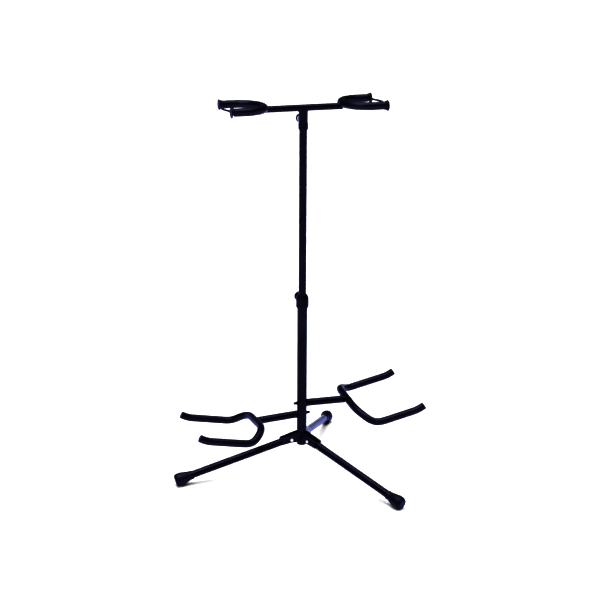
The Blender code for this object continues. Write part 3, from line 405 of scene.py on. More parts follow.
def makeBracket(side):
    # folded sheet, up a flange, over the web and down again, from the column outwards:
    # height = end of the web + (length - distance) * tan(slope + rise), less the drop of the bend
    (pivot, *_), outward = legFrame(side)
    spec = bracketSpec
    half, bend, length = spec["halfWidth"], spec["bend"], spec["length"]
    slope, overhang = math.tan(legSpec["slope"]), length - spec["pivot"]
    legAxis = pivot[2] - overhang * slope
    webEnd = legAxis + legSpec["radius"] / math.cos(legSpec["slope"]) + gap + spec["sheet"]
    section = roundCorners(((-half, -1.0), (-half, 0.0), (half, 0.0), (half, -1.0)), (bend, bend), 8)
    sideways, drop = section[:, 0], section[:, 1].clip(-bend, 0.0)
    onColumn = np.sqrt(np.maximum((columnRadius + spec["back"]) ** 2 - sideways ** 2, 0.0))
    atNeighbour = np.abs(sideways) / math.tan(math.pi / 3.0) + spec["back"]
    start = np.maximum(onColumn, atNeighbour)
    distance = start + np.linspace(0.0, 1.0, spec["rows"])[:, None] * (length - start)
    height = webEnd + (length - distance) * math.tan(legSpec["slope"] + spec["rise"]) + drop
    heel, toe = pivot[2] - spec["heel"], legAxis - spec["skirt"]
    past = distance - spec["pivot"]
    bottom = np.where(past < 0.0, heel, heel + (toe - heel) * past / overhang)
    count = spec["flangeRows"]
    rising = 1.0 - np.linspace(1.0, 0.0, count + 1)[:-1]
    left = bottom[:, :1] + (height[:, 1:2] - bottom[:, :1]) * rising
    right = bottom[:, -1:] + (height[:, -2:-1] - bottom[:, -1:]) * rising[::-1]
    flanges = [np.repeat(distance[:, column], count, 1) for column in (slice(0, 1), slice(-1, None))]
    x = np.concatenate((flanges[0], distance[:, 1:-1], flanges[1]), axis=1)
    y = np.concatenate((np.full(count, -half), sideways[1:-1], np.full(count, half)))
    z = np.concatenate((left, height[:, 1:-1], right), axis=1)
    foot = np.array((columnMiddle[0], columnMiddle[1], 0.0))
    local = np.stack((x, np.broadcast_to(y, x.shape), z), axis=-1)
    grid = place(local, foot, outward, np.cross(upward, outward), upward)
    piece = addPiece(f"legBracket.{side}", [shell(grid, around=False)], "paint", "base",
                     [f"leg_bracket_{side}"])
    mesh = piece.data
    if mesh.polygons[len(mesh.polygons) // 2].normal.z < -0.5:
        mesh.flip_normals()         # the web's outside is its top
    wall = piece.modifiers.new("sheet", "SOLIDIFY")
    wall.thickness = spec["sheet"]
    wall.offset = -1.0
    wall.use_even_offset = True
    edge = piece.modifiers.new("edge", "BEVEL")
    edge.width = spec["edge"]
    edge.segments = 2
    edge.limit_method = "ANGLE"
    edge.angle_limit = math.radians(50.0)


def makeRivet(side):
    # a washer and a domed head on each flange: along = height * sin angle, radius = head radius * cos angle
    (pivot, _, across, _), _ = legFrame(side)
    spec = rivetSpec
    seat = bracketSpec["halfWidth"] + slip
    face = seat + spec["washerHeight"]
    dome = np.linspace(0.0, quarterTurn, 9)
    corners = ((seat, 0.0), (seat, spec["washer"]), (face, spec["washer"]), (face, spec["radius"]))
    washer = roundCorners(corners, (0.0001, 0.0002), 3)
    rise = spec["height"] - spec["washerHeight"]
    head = np.stack((face + rise * np.sin(dome), spec["radius"] * np.cos(dome)), axis=1)
    outline = np.concatenate((washer, head))
    shells = [shell(spun(outline, axisFrame(pivot, across * hand), 40)) for hand in (-1.0, 1.0)]
    addPiece(f"legRivet.{side}", shells, "zinc", "base", [f"leg_rivet_{side}"])


for side in ("left", "rear", "right"):
    makeLeg(side)
    makeFoot(side)
    makeBracket(side)
    makeRivet(side)
print("tripod ready")


collarSpec = {
    "lip": 0.0008,
    "footTaper": 0.0045,
    "topTaper": 0.0100,
    "topRadius": 0.0112,
    "groove": 0.0005,               # depth
    "grooveSpots": (-0.0045, -0.0038, -0.0026, -0.0019),    # its edges and floor, from the collar's middle
    "roof": 0.006,                  # thickness of the top over the column's rim
    "seat": 0.004,                  # inside, the bore starts to narrow this far up
    "rounding": (0.0003, 0.002, 0.0002, 0.0002, 0.0002, 0.0002, 0.003, 0.0012, 0.0003, 0.0, 0.0),
    "boss": ((-0.006, 0.0), (-0.006, 0.0078), (-0.0006, 0.0078), (0.0022, 0.0070)),     # from its outside
    "bossEnd": 0.0068,
    "bossRounding": (0.0, 0.001, 0.002, 0.0006),
}
knobSpec = {
    "flutes": 18,
    "fluteDepth": 0.0007,
    "fluteStart": 0.62,             # share of the radius
    "seat": (0.0065, 0.0068),       # radii of the hub
    "hub": 0.0030,                  # length of the hub
    "backEdge": (0.0020, 0.0006),   # along, in
    "faceEdge": (0.0036, 0.0004, 0.0024),   # start and end of the rounding below the face, and how far in
    "face": (0.45, 0.30),           # shares of the radius where the dish starts and where it is full
    "dish": 0.0009,
    "rounding": (0.0004, 0.0006, 0.0008, 0.0012, 0.0016, 0.0014, 0.001, 0.0006),
    "spacing": 0.0006,
}
screwSpec = {
    "radius": 0.0030,
    "tip": 0.0008,                  # chamfer
    "pitch": 0.0010,
    "thread": 0.00025,
    "runOut": 0.0010,               # the thread ends this far from the washer
    "neck": 0.0006,                 # plain length under the washer
    "washer": {"height": 0.0080, "head": 0.0088},
    "washerHeight": 0.0012,
    "sink": 0.0002,                 # washer into the knob
}
plugSpec = {
    "cup": (0.0012, 0.0045),        # depth and radius of the hollow in its face
    "foot": 0.0060,                 # radius of its lowest ring
    "under": 0.0002,                # below the tube's end
    "rim": (0.0004, 0.0022),        # heights of the rounded edge
    "rimIn": 0.0015,
    "stem": (0.010, 0.004),         # radius and length inside the tube
    "rounding": (0.0008, 0.0012, 0.0012, 0.0008, 0.0002, 0.0, 0.0),
}


def uprightAxis(node):
    # the column's axis, and the heights of a node's lowest and highest points
    low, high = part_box(node)
    return axisFrame((columnMiddle[0], columnMiddle[1], 0.0), upward), low.z, high.z


def backwardAxis(height):
    # the axis of both thumb screws, level and pointing to the back
    return axisFrame((columnMiddle[0], 0.0, height), (0.0, 1.0, 0.0))


def radiusOf(node):
    return middleOf(node)[1][0] / 2.0


def makeUprightTube(name, spec):
    node = spec["node"]
    axis, low, high = uprightAxis(node)
    outline = tubeOutline(low, high, radiusOf(node), spec["wall"], tubeSpec["inset"], tubeSpec["spacing"])
    addPiece(name, [shell(spun(outline, axis, 72), loop=True)], "paint", spec["body"], [node])


def makeCollar():
    # turned clamp body with a lip, soft tapers and a shallow groove, and the boss of its screw
    axis, low, high = uprightAxis("height_collar")
    spec = collarSpec
    radius, hold, mast = radiusOf("height_collar"), columnRadius + gap, radiusOf("mast_tube") + gap
    first, floor, rise, last = ((low + high) / 2.0 + spot for spot in spec["grooveSpots"])
    bottom = radius - spec["groove"]
    outline = roundCorners((
        (low, hold), (low, hold + spec["lip"]), (low + spec["footTaper"], radius),
        (first, radius), (floor, bottom), (rise, bottom), (last, radius),
        (high - spec["topTaper"], radius), (high, spec["topRadius"]), (high, mast),
        (high - spec["roof"], mast), (low + spec["seat"], hold), (low, hold),
    ), spec["rounding"])[:-1]
    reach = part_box("height_collar")[1].y
    bossLine = [(radius + along, across) for along, across in spec["boss"]]
    bossLine += [(reach, spec["bossEnd"]), (reach, 0.0)]
    bossAxis = backwardAxis(middleOf("height_knob")[0][2])
    boss = spun(roundCorners(bossLine, spec["bossRounding"]), bossAxis, 48)
    addPiece("heightCollar", [shell(spun(outline, axis, 72), loop=True), shell(boss)], "nylon", "base",
             ["height_collar"])


def makeKnob(prefix):
    # fluted round knob with a dished face: its rim dips by depth * ((1 + cos(flutes * angle)) / 2) squared
    middle, size = middleOf(f"{prefix}_knob")
    radius, start, end = size[0] / 2.0, middle[1] - size[1] / 2.0, middle[1] + size[1] / 2.0
    spec = knobSpec
    back, floor = start + spec["hub"], end - spec["dish"]
    slope, edge, bevel = spec["faceEdge"]
    outline = roundCorners((
        (start + slip, 0.0), (start + slip, spec["seat"][0]), (back, spec["seat"][1]),
        (back, radius - spec["backEdge"][1]), (back + spec["backEdge"][0], radius),
        (end - slope, radius), (end - edge, radius - bevel), (end, spec["face"][0] * radius),
        (floor, spec["face"][1] * radius), (floor, 0.0),
    ), spec["rounding"], 5)
    rows = np.concatenate([evenly(outline[k:k + 2], spec["spacing"])[:-1] for k in range(len(outline) - 1)]
                          + [outline[-1:]])

    def flutes(radii, angles):
        near = np.clip((radii / radius - spec["fluteStart"]) / (1.0 - spec["fluteStart"]), 0.0, 1.0)
        return spec["fluteDepth"] * near * (0.5 + 0.5 * np.cos(spec["flutes"] * angles)) ** 2

    grid = spun(rows, backwardAxis(middle[2]), spec["flutes"] * 10, flutes)
    addPiece(f"thumbKnob.{prefix}", [shell(grid)], "nylon", f"{prefix}_screw", [f"{prefix}_knob"])


def makeScrew(prefix):
    # screw with a thread cut as rings, radius = screw radius - thread * triangle wave, and a washer
    middle, size = middleOf(f"{prefix}_screw")
    spec = screwSpec
    start, end = middle[1] - size[1] / 2.0, middle[1] + size[1] / 2.0
    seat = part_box(f"{prefix}_knob")[0].y + spec["sink"]
    face, radius, washer = seat + spec["washerHeight"], spec["radius"], spec["washer"][prefix]
    stations = np.arange(start + spec["tip"], seat - spec["runOut"], spec["pitch"] / 4.0)
    wave = np.abs((stations / spec["pitch"]) % 1.0 - 0.5) * 2.0
    thread = np.stack((stations, radius - spec["thread"] * wave), axis=1)
    tail = roundCorners(((seat - spec["neck"], radius), (seat, radius), (seat, washer), (face, washer),
                         (face, radius), (end, radius), (end, 0.0)), (0.0, 0.0002, 0.0002, 0.0, 0.0002), 3)
    tip = ((start, 0.0), (start, radius - spec["tip"]))
    grid = spun(np.concatenate((tip, thread, tail)), backwardAxis(middle[2]), 48)
    addPiece(f"thumbScrew.{prefix}", [shell(grid)], "zinc", f"{prefix}_screw", [f"{prefix}_screw"])


def makeColumnPlug():
    # moulded end plug with a hollow face, a rounded rim under the tube's end and a stem inside it
    axis, low, _ = uprightAxis("column_plug")
    spec = plugSpec
    face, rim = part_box("column_tube")[0].z - spec["under"], columnRadius + slip
    depth, cup = spec["cup"]
    stem, length = spec["stem"]
    outline = roundCorners((
        (low + depth, 0.0), (low + depth, cup), (low, spec["foot"]),
        (low + spec["rim"][0], columnRadius - spec["rimIn"]), (low + spec["rim"][1], rim),
        (face, rim), (face, stem), (face + length, stem), (face + length, 0.0),
    ), spec["rounding"])
    addPiece("columnPlug", [shell(spun(outline, axis))], "nylon", "base", ["column_plug"])


makeUprightTube("columnTube", tubeSpec["column"])
makeUprightTube("mastTube", tubeSpec["mast"])
makeCollar()
for make in (makeKnob, makeScrew):
    make("height")
    make("head")
makeColumnPlug()
print("column, mast and clamp ready")


barMiddle, barSize = middleOf("crossbar")
barRadius = barSize[1] / 2.0
crossbarSpec = {"wall": 0.0012, "inset": 0.003, "spacing": 0.012}
sleeveSpec = {
    "radius": 0.0110,
    "bore": 0.0098,
    "sink": 0.0006,                 # its top into the crossbar
    "steepest": 0.35,               # share of the bar's radius under which its top doesn't follow the bar
    "flareStart": 0.86,             # share of the height
    "fillet": 0.0026,
    "flarePower": 2.2,
    "rim": 0.80,                    # the top's inner edge, as a share of its outer edge
    "depth": 0.02,                  # of the socket
    "count": 96,
}
ferruleSpec = {
    "lip": 0.0007,
    "taper": 0.0045,
    "groove": (0.0030, 0.0026, 0.0022),     # below the top
    "grooveDepth": 0.0003,
    "shoulder": 0.5,                # share of the height
    "rounding": (0.0003, 0.002, 0.0001, 0.0001, 0.0001, 0.0006, 0.0003, 0.0, 0.0),
}
nutSpec = {
    "flat": 0.86,                   # half across the flats, as a share of half the box
    "sink": 0.0012,                 # into the sleeve
    "chamfer": ((-0.0009, 1.0), (-0.0004, 0.95), (0.0, 0.90)),
    "mouth": ((0.0, 0.56), (-0.001, 0.52), (-0.001, 0.0)),
    "hexagonal": 0.9,               # rows wider than this share follow the hexagon
    "count": 72,
}


def makeCrossbar():
    half, spec = barSize[0] / 2.0, crossbarSpec
    outline = tubeOutline(-half, half, barRadius, spec["wall"], spec["inset"], spec["spacing"])
    axis = axisFrame((columnMiddle[0], 0.0, barMiddle[2]), (1.0, 0.0, 0.0))
    addPiece("crossbarTube", [shell(spun(outline, axis), loop=True)], "paint", "head", ["crossbar"])


def makeHeadSleeve():
    # upright socket whose top follows the bar: height = bar height - sqrt(bar radius squared - y squared);
    # it flares like a weld: radius + fillet * (share of its last height) to a power * |cos angle| cubed
    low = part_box("head_sleeve")[0]
    spec = sleeveSpec
    angles = ringAngles(spec["count"])
    ringX, ringY = np.cos(angles), np.sin(angles)
    steepest = (spec["steepest"] * barRadius) ** 2
    fall = np.sqrt(np.maximum(barRadius ** 2 - (spec["radius"] * ringY) ** 2, steepest))
    under = barMiddle[2] - fall + spec["sink"]
    share = np.concatenate((np.linspace(0.0, 0.80, 12), np.linspace(0.80, 1.0, 12)[1:]))[:, None]
    last = np.clip((share - spec["flareStart"]) / (1.0 - spec["flareStart"]), 0.0, 1.0)
    radius = spec["radius"] + spec["fillet"] * last ** spec["flarePower"] * np.abs(ringX) ** 3
    outer = np.stack((radius * ringX, radius * ringY, low.z + share * (under - low.z)), axis=-1)
    rim = outer[-1] * (spec["rim"], spec["rim"], 1.0)
    inner = np.stack((spec["bore"] * ringX, spec["bore"] * ringY, np.full(spec["count"], low.z)), axis=-1)
    bore = inner + (0.0, 0.0, spec["depth"])
    grid = np.concatenate((bore[None], inner[None], outer, rim[None])) + (columnMiddle[0], 0.0, 0.0)
    addPiece("headSleeve", [shell(grid, loop=True)], "paint", "head", ["head_sleeve"])


def makeFerrule():
    # turned ring round the foot of the sleeve, with a lip, a taper and a fine groove
    axis, low, high = uprightAxis("head_ferrule")
    spec = ferruleSpec
    radius, bore, socket = radiusOf("head_ferrule"), sleeveSpec["bore"], sleeveSpec["radius"] + slip
    grooveFoot, grooveFloor, grooveTop = (high - depth for depth in spec["groove"])
    shoulder = low + spec["shoulder"] * (high - low)
    outline = roundCorners((
        (low, bore), (low, bore + spec["lip"]), (low + spec["taper"], radius - slip),
        (grooveFoot, radius), (grooveFloor, radius - spec["grooveDepth"]), (grooveTop, radius),
        (high, radius), (high, socket), (shoulder, socket), (shoulder, bore), (low, bore),
    ), spec["rounding"], 4)[:-1]
    addPiece("headFerrule", [shell(spun(outline, axis), loop=True)], "nylon", "head", ["head_ferrule"])


def makeWeldNut():
    # hexagonal nut: radius = flat / cos(angle from the middle of the nearest flat), its corners turned off
    low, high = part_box("head_weld_nut")
    spec = nutSpec
    flat = spec["flat"] * (high.x - low.x) / 2.0
    start, end = sleeveSpec["radius"] - spec["sink"], high.y
    mouth = [(end + along, share) for along, share in spec["chamfer"] + spec["mouth"]]
    outline = np.array([(start, 0.0), (start, 1.0), *mouth])
    angles = ringAngles(spec["count"])
    side = math.pi / 6.0
    hexagon = flat / np.cos((angles + side) % (2.0 * side) - side)
    share = outline[:, 1:]
    circle = share * flat / math.cos(side)
    radius = np.where(share > spec["hexagonal"], np.minimum(hexagon, circle), circle)
    along = np.repeat(outline[:, :1], spec["count"], 1)
    grid = turned(along, radius, angles, backwardAxis((low.z + high.z) / 2.0))
    addPiece("headWeldNut", [shell(grid)], "zinc", "head", ["head_weld_nut"], sharp=25.0)


makeCrossbar()
makeHeadSleeve()
makeFerrule()
makeWeldNut()
print("head ready")


yokeSpec = {
    "width": 0.1160,                # between the axes of its arms
    "bend": 0.0560,                 # radius of each corner
    "back": 0.0965,                 # back of the U from the column
    "end": 0.1795,                  # mouth of the foam
    "foam": 0.0095,                 # outer radius of the foam sleeve
    "short": 0.0002,                # of the mouth
    "edge": 0.0011,                 # rounding of the sleeve's ends
    "spacing": 0.0012,
    "ripple": 0.00016,              # depth of the creases on the inside of its bends
    "pitch": 0.0054,                # from crease to crease
    "creased": 0.0560,              # radius of a bend with full creases
}
capSpec = {
    "flange": 0.0127,
    "thickness": 0.0034,
    "neck": 0.0070,
    "neckLength": 0.0052,
    "straight": 0.7,                # share of the thickness before the flange rounds over
    "face": (0.74, 0.40, 0.28),     # shares of the flange's radius on the rounded face
    "bevel": 0.0003,
    "dimple": 0.0008,
    "rounding": (0.0003, 0.0005, 0.0006, 0.0012, 0.002, 0.0015, 0.0008),
}
strapSpec = {
    "ring": 0.0112,
    "bore": 0.0073,
    "thickness": 0.0044,
    "rounding": (0.0009, 0.0009, 0.0005),
    "root": 0.0016,                 # the band starts this far outside the bore
    "bandHeight": 0.0052,
    "bandThickness": 0.0028,
    "widening": (0.45, 0.35),       # of height and thickness at the band's ends
    "wideningPower": 6,
    "bow": 0.0115,
    "squareness": 0.55,             # 1 gives an oval section, 0 a square one
    "hookBore": 0.0080,
    "hookLeg": 0.0050,
    "hookSpacing": 0.0009,
}
foamCount = 48           # points round a foam sleeve
yokeHeight = middleOf("yoke_left_rod")[0][2]


def yokeFrame(side):
    # away from the column, across the yoke and up; a half turn about the column takes one yoke to the other
    hand = 1.0 if side == "right" else -1.0
    origin = np.array((columnMiddle[0], 0.0, yokeHeight))
    return origin, np.array((hand, 0.0, 0.0)), np.array((0.0, hand, 0.0)), upward


def foamSleeve(line, normals, axes, spec):
    # ring carried along a line, with creases where a bend squeezes the foam:
    # radius = foam - ripple * squeeze * wave along the sleeve * cos(angle from the bend's inside) squared
    tangents = unit(np.gradient(line, axis=0))
    curl = np.gradient(tangents, axis=0) / spec["spacing"]
    bending = np.linalg.norm(curl, axis=1)
    squeeze = np.clip(bending * spec["creased"], 0.0, 1.0)
    inwards = curl / np.maximum(bending[:, None], 1e-6)
    angles = ringAngles(foamCount)
    facing = (np.sum(inwards * normals, axis=1)[:, None] * np.cos(angles)
              + np.sum(inwards * np.cross(tangents, normals), axis=1)[:, None] * np.sin(angles))
    wave = 0.5 - 0.5 * np.cos(np.arange(len(line)) * spec["spacing"] * fullTurn / spec["pitch"])
    radii = spec["foam"] - spec["ripple"] * (squeeze * wave)[:, None] * np.clip(facing, 0.0, 1.0) ** 2
    normals = place(normals, np.zeros(3), *axes[1:])
    return roundedEnds(carried(place(line, *axes), normals, radii, foamCount), spec["edge"])


def makeYokeFoam(side):
    # sleeve along a U in the level plane
    spec = yokeSpec
    half, mouth = spec["width"] / 2.0, spec["end"] - spec["short"]
    corners = ((mouth, -half, 0.0), (spec["back"], -half, 0.0), (spec["back"], half, 0.0), (mouth, half, 0.0))
    line = evenly(roundCorners(corners, (spec["bend"], spec["bend"]), 24), spec["spacing"])
    grid = foamSleeve(line, np.broadcast_to(upward, line.shape), yokeFrame(side), spec)
    nodes = [f"yoke_{side}_front_pad", f"yoke_{side}_rear_pad"]
    piece = addPiece(f"yokeFoam.{side}", [shell(grid)], "foam", "head", nodes)


def makeYokeCap(side, spot, hand):
    # moulded cap: a neck for the strap, a rounded flange and a dimple in its face
    origin, along, across, _ = yokeFrame(side)
    spec = capSpec
    start = yokeSpec["end"] + gap
    foot, neck, flange = start + spec["neckLength"], spec["neck"], spec["flange"]
    end = foot + spec["thickness"]
    floor = end - spec["dimple"]
    shoulder, face, dimple = (share * flange for share in spec["face"])
    outline = roundCorners((
        (start, 0.0), (start, neck), (foot, neck), (foot, flange),
        (foot + spec["straight"] * spec["thickness"], flange), (end - spec["bevel"], shoulder),
        (end, face), (floor, dimple), (floor, 0.0),
    ), spec["rounding"], 5)
    axis = axisFrame(origin + across * hand * yokeSpec["width"] / 2.0, along)
    addPiece(f"yokeCap.{side}.{spot}", [shell(spun(outline, axis))], "rubber", "head",
             [f"yoke_{side}_{spot}_cap"])


def carriedBand(line, wide, tall, across, above):
    # a rounded square carried along a line: point = line + wide * c * across + tall * s * above, where
    # c and s are the cosine and sine of the angle, raised to the power of squareness with their signs kept
    angles = ringAngles(28)
    power = strapSpec["squareness"]
    c, s = (np.sign(wave) * np.abs(wave) ** power for wave in (np.cos(angles), np.sin(angles)))
    return withPoles(line[:, None] + (wide * c)[..., None] * across + (tall * s)[..., None] * above)


def makeStrap(side):
    # eye ring, a band bowed by bow * sin(pi * share) squared and widened by a power of the distance from its
    # middle, and a hook, which is a half circle with two legs
    origin, along, across, above = yokeFrame(side)
    spec = strapSpec
    half, reach = spec["thickness"] / 2.0, yokeSpec["width"]
    eye = origin + along * (yokeSpec["end"] + gap + capSpec["neckLength"] / 2.0) - across * reach / 2.0
    bore, ring = spec["bore"], spec["ring"]
    corners = ((-half, bore), (-half, ring), (half, ring), (half, bore), (-half, bore))
    ringLine = roundCorners(corners, spec["rounding"], 4)[:-1]
    shells = [shell(spun(ringLine, axisFrame(eye, along), 56), loop=True)]
    share = np.linspace(0.0, 1.0, 61)
    root = bore + spec["root"]
    line = np.stack((spec["bow"] * np.sin(math.pi * share) ** 2, root + (reach - 2.0 * root) * share,
                     np.zeros_like(share)), axis=1)
    taller, thicker = spec["widening"]
    atEnds = (np.abs(2.0 * share - 1.0) ** spec["wideningPower"])[:, None]
    tangents = unit(np.gradient(line, axis=0))
    outwards = np.stack((tangents[:, 1], -tangents[:, 0], np.zeros_like(share)), axis=1)[:, None]
    band = carriedBand(line, spec["bandThickness"] / 2.0 * (1.0 + thicker * atEnds),
                       spec["bandHeight"] / 2.0 * (1.0 + taller * atEnds), outwards, upward)
    shells.append(shell(place(band, eye, along, across, above)))
    radius, width = (ring + spec["hookBore"]) / 2.0, (ring - spec["hookBore"]) / 2.0
    turns = np.linspace(0.0, math.pi, 33)
    crown = np.stack((np.zeros_like(turns), reach + radius * np.cos(turns), radius * np.sin(turns)), axis=1)
    leg = (0.0, 0.0, spec["hookLeg"])
    hookLine = evenly(np.concatenate((crown[:1] - leg, crown, crown[-1:] - leg)), spec["hookSpacing"])
    forward = np.array((1.0, 0.0, 0.0))
    radial = np.cross(unit(np.gradient(hookLine, axis=0)), forward)[:, None]
    hook = carriedBand(hookLine, half, width, forward, radial)
    shells.append(shell(place(hook, eye, along, across, above)))
    addPiece(f"neckStrap.{side}", shells, "rubber", f"{side}_strap", [f"yoke_{side}_strap"], sharp=50.0)


for side in sides:
    makeYokeFoam(side)
    frontHand = 1.0 if side == "left" else -1.0
    makeYokeCap(side, "front", frontHand)
    makeYokeCap(side, "rear", -frontHand)
    makeStrap(side)
print("yokes ready")


cradleSpec = {
    "armRadius": 0.0095,
    "armStart": 0.0166,
    "back": 0.1195,                 # back of the U from the stud's origin
    "rod": 0.0060,                  # radius of the fork's tube
    "foam": 0.0095,
    "width": 0.2150,
    "corner": 0.0650,               # radius of each corner of the flat U
    "runs": (0.0438, 0.1155, 0.0165),        # back to heel, heel to tip bend, tip
    "headings": (math.radians(-30.5), math.radians(13.6), math.radians(36.0)),
    "folds": (0.0250, 0.0180),      # radius of the fold at the heel and at the tip
    "plug": 0.0027,                 # the tip plug stands this far past the foam
    "spacing": 0.0015,
    "give": 0.0300,                 # length of foam over which a fold of the rod is smoothed out
    "ripple": 0.00020,
    "pitch": 0.0066,                # from crease to crease
    "creased": 0.03,                # radius of a bend with full creases
    "edge": 0.0007,                 # rounding of the sleeve's ends
    "roll": {"right": math.radians(3.0), "left": math.radians(7.0)},         # about the stud
}
tipSpec = {
    "outline": ((-0.004, 0.0), (-0.004, 0.0062), (0.0003, 0.0062)),
    "shoulder": (0.0003, 0.0016),   # heights of the rim over the foam's end
    "dome": (0.0025, 0.72),         # height, and share of the radius
    "rounding": (0.0, 0.0, 0.0003, 0.0007, 0.004),
}
saddleSpec = {
    "spread": (0.0, 0.35, 0.7, 0.92, 1.0),          # shares of the radius on its hollow face
    "edge": 0.0003,                 # its outermost ring is turned in
    "rim": ((-0.0011, 1.02), (-0.0005, 1.01), (-0.0001, 0.97), (0.0, 0.90), (0.0, 0.0)),
    "count": 64,
}
armSpec = {"edge": 0.0006, "middle": 0.06}
capNutSpec = {
    "length": 0.0088,
    "flange": ((-0.0008, 0.0), (-0.0008, 0.0052), (0.0007, 0.0052), (0.0007, 0.0037)),      # from the column
    "dome": ((-0.0012, 0.0037), (0.0, 0.0020), (0.0, 0.0)),         # from its end
    "rounding": (0.0002, 0.0003, 0.0002, 0.0012, 0.0008),
}


def cradleFrame(side):
    # stud axis from the joint; the roll about it lifts one side of the fork
    joint = joints[f"{side}_cradle_turn"]
    origin, along, across, above = axisFrame(joint["pos_m"], joint["axis"])
    roll = cradleSpec["roll"][side]
    rolled = across * math.cos(roll) + above * math.sin(roll)
    return origin, along, rolled, np.cross(along, rolled)


def forkLine():
    # a flat U, then folded: its distance from the back is read off along the side view of heel, arm and tip
    spec = cradleSpec
    half, reach = spec["width"] / 2.0, sum(spec["runs"]) - spec["plug"]
    corners = ((reach, -half), (0.0, -half), (0.0, half), (reach, half))
    flat = evenly(roundCorners(corners, (spec["corner"], spec["corner"]), 24), spec["spacing"])
    bends = [np.array((spec["back"], 0.0))]
    back, arm, tip = spec["runs"]
    for heading, run in zip(spec["headings"], (back, arm, 2.0 * tip)):       # runs on past the tip
        bends.append(bends[-1] + run * np.array((math.cos(heading), math.sin(heading))))
    view = evenly(roundCorners(bends, spec["folds"], 12), spec["spacing"] / 3.0)
    slopes = np.gradient(view, axis=0)
    readings = (view[:, 0], view[:, 1], np.arctan2(slopes[:, 1], slopes[:, 0]))
    x, z, tilt = (np.interp(flat[:, 0], lengthsAlong(view), reading) for reading in readings)
    line = softened(np.stack((x, flat[:, 1], z), axis=1), int(spec["give"] / spec["spacing"]))
    normals = np.stack((-np.sin(tilt), np.zeros_like(tilt), np.cos(tilt)), axis=1)
    return line, normals


def makeForkFoam(side):
    # sleeve along the folded U; returns the points that it runs along
    line, normals = forkLine()
    axes = cradleFrame(side)
    grid = foamSleeve(line, normals, axes, cradleSpec)
    nodes = [f"cradle_{side}_front_pad", f"cradle_{side}_rear_pad"]
    piece = addPiece(f"cradleFoam.{side}", [shell(grid)], "foam", f"{side}_cradle", nodes)
    return place(line, *axes)


def makeTips(side, points):
    # domed plugs on the two ends of the fork
    first, last = ("rear", "front") if side == "left" else ("front", "rear")
    spec, radius = tipSpec, cradleSpec["foam"]
    rim, (height, share) = radius + slip, spec["dome"]
    foot, shoulder = spec["shoulder"]
    outline = roundCorners((*spec["outline"], (foot, rim), (shoulder, rim), (height, share * radius),
                            (cradleSpec["plug"], 0.0)), spec["rounding"], 4)
    for end, inner, spot in ((0, 3, first), (-1, -4, last)):
        axis = axisFrame(points[end], points[end] - points[inner])
        addPiece(f"cradleTip.{side}.{spot}", [shell(spun(outline, axis, 48))], "rubber", f"{side}_cradle",
                 [f"cradle_{side}_{spot}_tip"])


def makeSaddle(side, axis):
    # spacer with a face hollowed to the column: along = sqrt(column radius squared - side squared)
    spec = saddleSpec
    radius, end = cradleSpec["armRadius"], cradleSpec["armStart"] - gap
    angles = ringAngles(spec["count"])
    spread = np.array(spec["spread"])[:, None]
    inner = np.sqrt((columnRadius + slip) ** 2 - (spread * radius * np.cos(angles)) ** 2)
    inner[-1] += spec["edge"]
    rim = np.array(spec["rim"]) + (end, 0.0)
    along = np.concatenate((inner, np.repeat(rim[:, :1], spec["count"], axis=1)))
    grid = turned(along, np.concatenate((spread, rim[:, 1:])) * radius, angles, axis)
    addPiece(f"cradleSaddle.{side}", [shell(grid)], "nylon", "base", [f"cradle_{side}_saddle"])


def makeCradleArm(side, axis):
    # round tube from the saddle to the fork
    radius, start, edge = cradleSpec["armRadius"], cradleSpec["armStart"], armSpec["edge"]
    end = cradleSpec["back"] - cradleSpec["rod"] - gap
    corners = ((start, 0.0), (start, radius), (armSpec["middle"], radius), (end, radius), (end, 0.0))
    grid = spun(roundCorners(corners, (edge, 0.0, edge), 3), axis)
    addPiece(f"cradleArm.{side}", [shell(grid)], "paint", f"{side}_cradle", [f"cradle_{side}_arm"])


def makeCapNut(side, axis):
    # domed nut on the stud, behind the column
    spec = capNutSpec
    start = -(columnRadius + gap)
    outline = [(start - along, radius) for along, radius in spec["flange"]]
    outline += [(start - spec["length"] - along, radius) for along, radius in spec["dome"]]
    grid = spun(roundCorners(outline, spec["rounding"], 4), axis, 40)
    addPiece(f"capNut.{side}", [shell(grid)], "paint", f"{side}_cradle", [f"cradle_{side}_cap_nut"])


for side in sides:
    makeTips(side, makeForkFoam(side))
    axis = cradleFrame(side)
    makeCradleArm(side, axis)
    makeSaddle(side, axis)
    makeCapNut(side, axis)
print("cradles ready")


cameraSpec = {"place": (-0.8810, -2.8701, 1.4229), "yaw": 17.34, "down": 17.93, "roll": 0.26, "lens": 78.13,
              "sensor": 36.0}
floorSpec = {"colour": (0.96, 0.96, 0.96), "rough": 0.9, "halfSize": 60.0}
skySpec = {
    "front": 0.10,                  # strength in front of the stand
    "back": 1.5,                    # and behind it
    "turn": (-0.1, 0.8),            # from front to back: range of the direction's y
    "top": 0.20,                    # share of the strength overhead
    "rise": (0.12, 0.50),           # from level to overhead: range of the direction's z
    "seen": 1.0,                    # strength that the eye sees
}
lightSpec = {
    "softbox.above": {"spot": (-1.2, -0.8, 3.4), "aim": (0.0, 0.0, 0.2), "size": 1.6, "watts": 60.0},
    "softbox.front": {"spot": (-1.9, -2.3, 1.7), "aim": (0.0, 0.0, 0.3), "size": 0.35, "watts": 14.0},
}
overheadSpec = {"strength": 6.0, "angle": math.radians(60.0), "height": 3.0}     # keeps the floor pale
viewSpec = {"transform": "Standard", "gamma": 0.75}


def addObject(name, data):
    thing = bpy.data.objects.new(name, data)
    bpy.context.scene.collection.objects.link(thing)
    return thing


